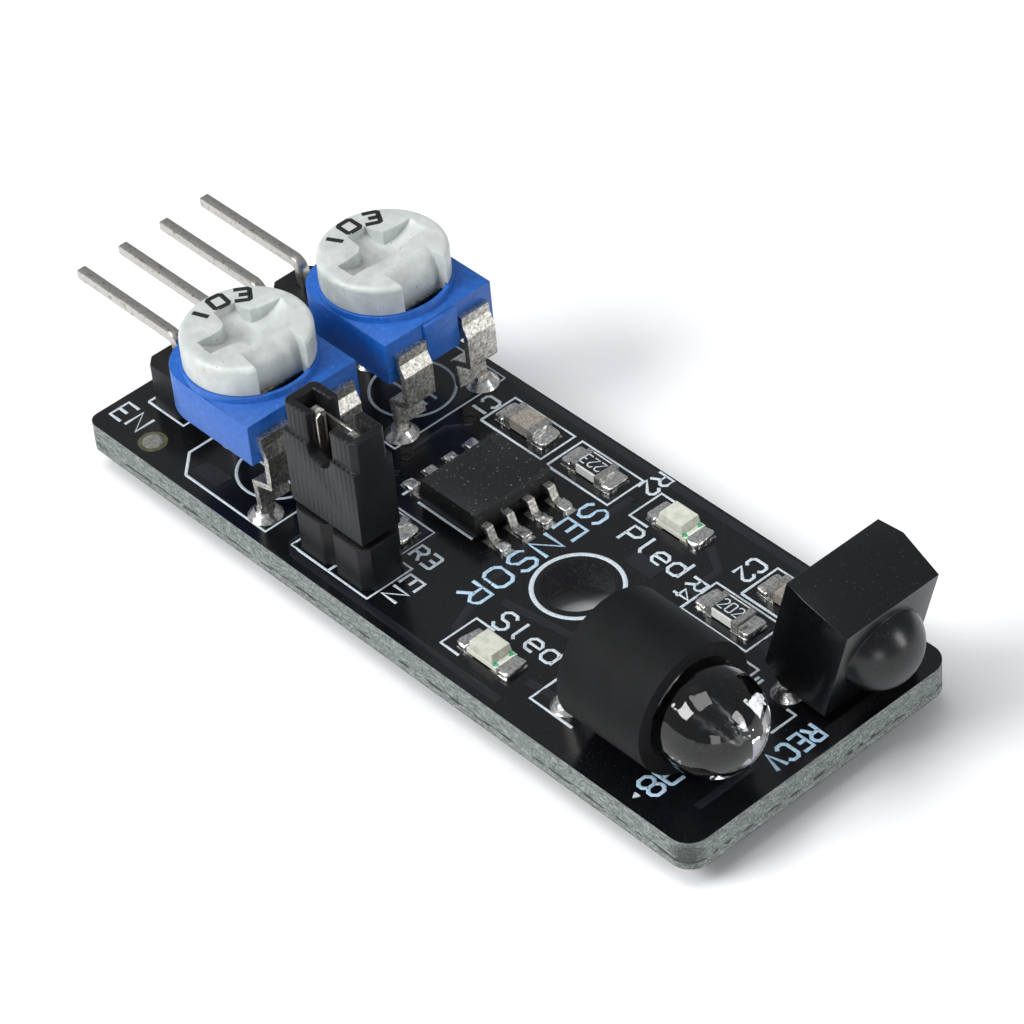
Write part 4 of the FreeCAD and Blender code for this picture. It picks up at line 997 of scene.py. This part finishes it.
# A very dark gloss with fine dust.
dark_mat, tree, place = material("infrared-pass black epoxy, polished")
wave = add(tree, "TexNoise", {"Vector": place, "Scale": per_mm(1.8), "Detail": 2.0})
dust = add(tree, "TexNoise", {"Vector": place, "Scale": per_mm(0.08), "Detail": 1.0})
speck = add(tree, "MapRange", {"Value": dust.outputs["Fac"], "From Min": 0.71, "From Max": 0.76})
colour = add(
    tree, "MixRGB", {"Fac": speck.outputs[0], "Color1": linear("#08090b"), "Color2": linear("#4a4c50")},
)
relief = add(tree, "Bump", {"Height": wave.outputs["Fac"], "Distance": 0.02 * MM, "Strength": 0.35})
surface = add(tree, "BsdfPrincipled", {
    "Base Color": colour.outputs[0], "Roughness": 0.28, "IOR": 1.5, "Normal": relief.outputs[0],
})
add(tree, "OutputMaterial", {"Surface": surface.outputs[0]})
softened("receiver_body", "receiver_moulding", dark_mat, 0.1, segments=3)

# Solder: bright tin alloy. It fills each plated hole and is wetted up each lead with an iron, and it has
# frozen in small puddles at the toes of the chip's leads and at the ends of the chip parts.

# A bright rounded metal with ripples from its flow and slightly greyer patches.
solder_mat, tree, place = material("tin solder, hand flowed")
flow = add(tree, "TexNoise", {"Vector": place, "Scale": per_mm(0.5), "Detail": 1.5, "Distortion": 0.4})
stain = add(tree, "TexNoise", {"Vector": place, "Scale": per_mm(0.15), "Detail": 3.0})
colour = add(
    tree, "ValToRGB", {"Fac": stain.outputs["Fac"]},
    stops=[(0.3, "#b4b2ad"), (0.5, "#dcdbd8"), (0.7, "#f2f1ef")],
).outputs[0]
relief = add(tree, "Bump", {"Height": flow.outputs["Fac"], "Distance": 0.1 * MM, "Strength": 0.6})
surface = add(tree, "BsdfPrincipled", {
    "Base Color": colour, "Metallic": 1.0, "Roughness": 0.27, "Normal": relief.outputs[0],
})
add(tree, "OutputMaterial", {"Surface": surface.outputs[0]})
coat(["solder_joints", "solder_fillets"], solder_mat)


def blob(name, x, y, long, wide, high, turn, seed):
    """A puddle of solder frozen on a pad: a block rounded off by subdivision and rippled a little."""
    deselect()
    bpy.ops.mesh.primitive_cube_add(
        size=1, location=at(x, y, high * 0.3), scale=(long * MM, wide * MM, high * MM),
    )
    piece = bpy.context.object
    piece.rotation_euler.z = math.radians(turn)
    bpy.ops.object.transform_apply(location=True, rotation=True, scale=True)
    bpy.ops.object.mode_set(mode="EDIT")
    bpy.ops.mesh.select_all(action="SELECT")
    bpy.ops.mesh.subdivide(number_cuts=2, smoothness=0.0)
    bpy.ops.transform.vertex_random(offset=0.07 * MM, uniform=0.5, normal=0.3, seed=seed)
    bpy.ops.mesh.normals_make_consistent(inside=False)
    bpy.ops.object.mode_set(mode="OBJECT")
    finish_with(piece, "SUBSURF", levels=2, render_levels=2)
    piece.name = name
    settle(piece, solder_mat, angle=80)


toe_long, toe_wide, toe_high, toe_reach, lead_pitch = 0.75, 0.62, 0.34, 0.12, 1.27
chip_low, chip_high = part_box("timer_chip_leads")
for row, edge in (("rear", chip_low.x), ("front", chip_high.x)):
    for lead in range(4):
        x = (edge - board_mid.x) / MM + (toe_reach if row == "front" else -toe_reach)
        y = ((chip_low.y + chip_high.y) / 2 - board_mid.y) / MM + (lead - 1.5) * lead_pitch
        blob("solder_toe_%s_%d" % (row, lead + 1), x, y, toe_long, toe_wide, toe_high, 0, lead + 3)
end_long, end_wide, end_high, end_reach = 0.72, 1.3, 0.42, 1.3
ends = {
    "r2": "resistor_r2", "r3": "resistor_r3", "r4": "resistor_r4", "c1": "capacitor_c1",
    "c2": "capacitor_c2", "power": "power_led_base", "signal": "signal_led_base",
}
for count, (label, node) in enumerate(ends.items()):
    low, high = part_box(node)
    x = ((low.x + high.x) / 2 - board_mid.x) / MM
    y = ((low.y + high.y) / 2 - board_mid.y) / MM
    for side in (-1, 1):
        name = "solder_%s_%s" % (label, "rear" if side < 0 else "front")
        seed = 20 + 2 * count + side
        blob(name, x + side * end_reach, y, end_long, end_wide, end_high, 4 * side, seed)
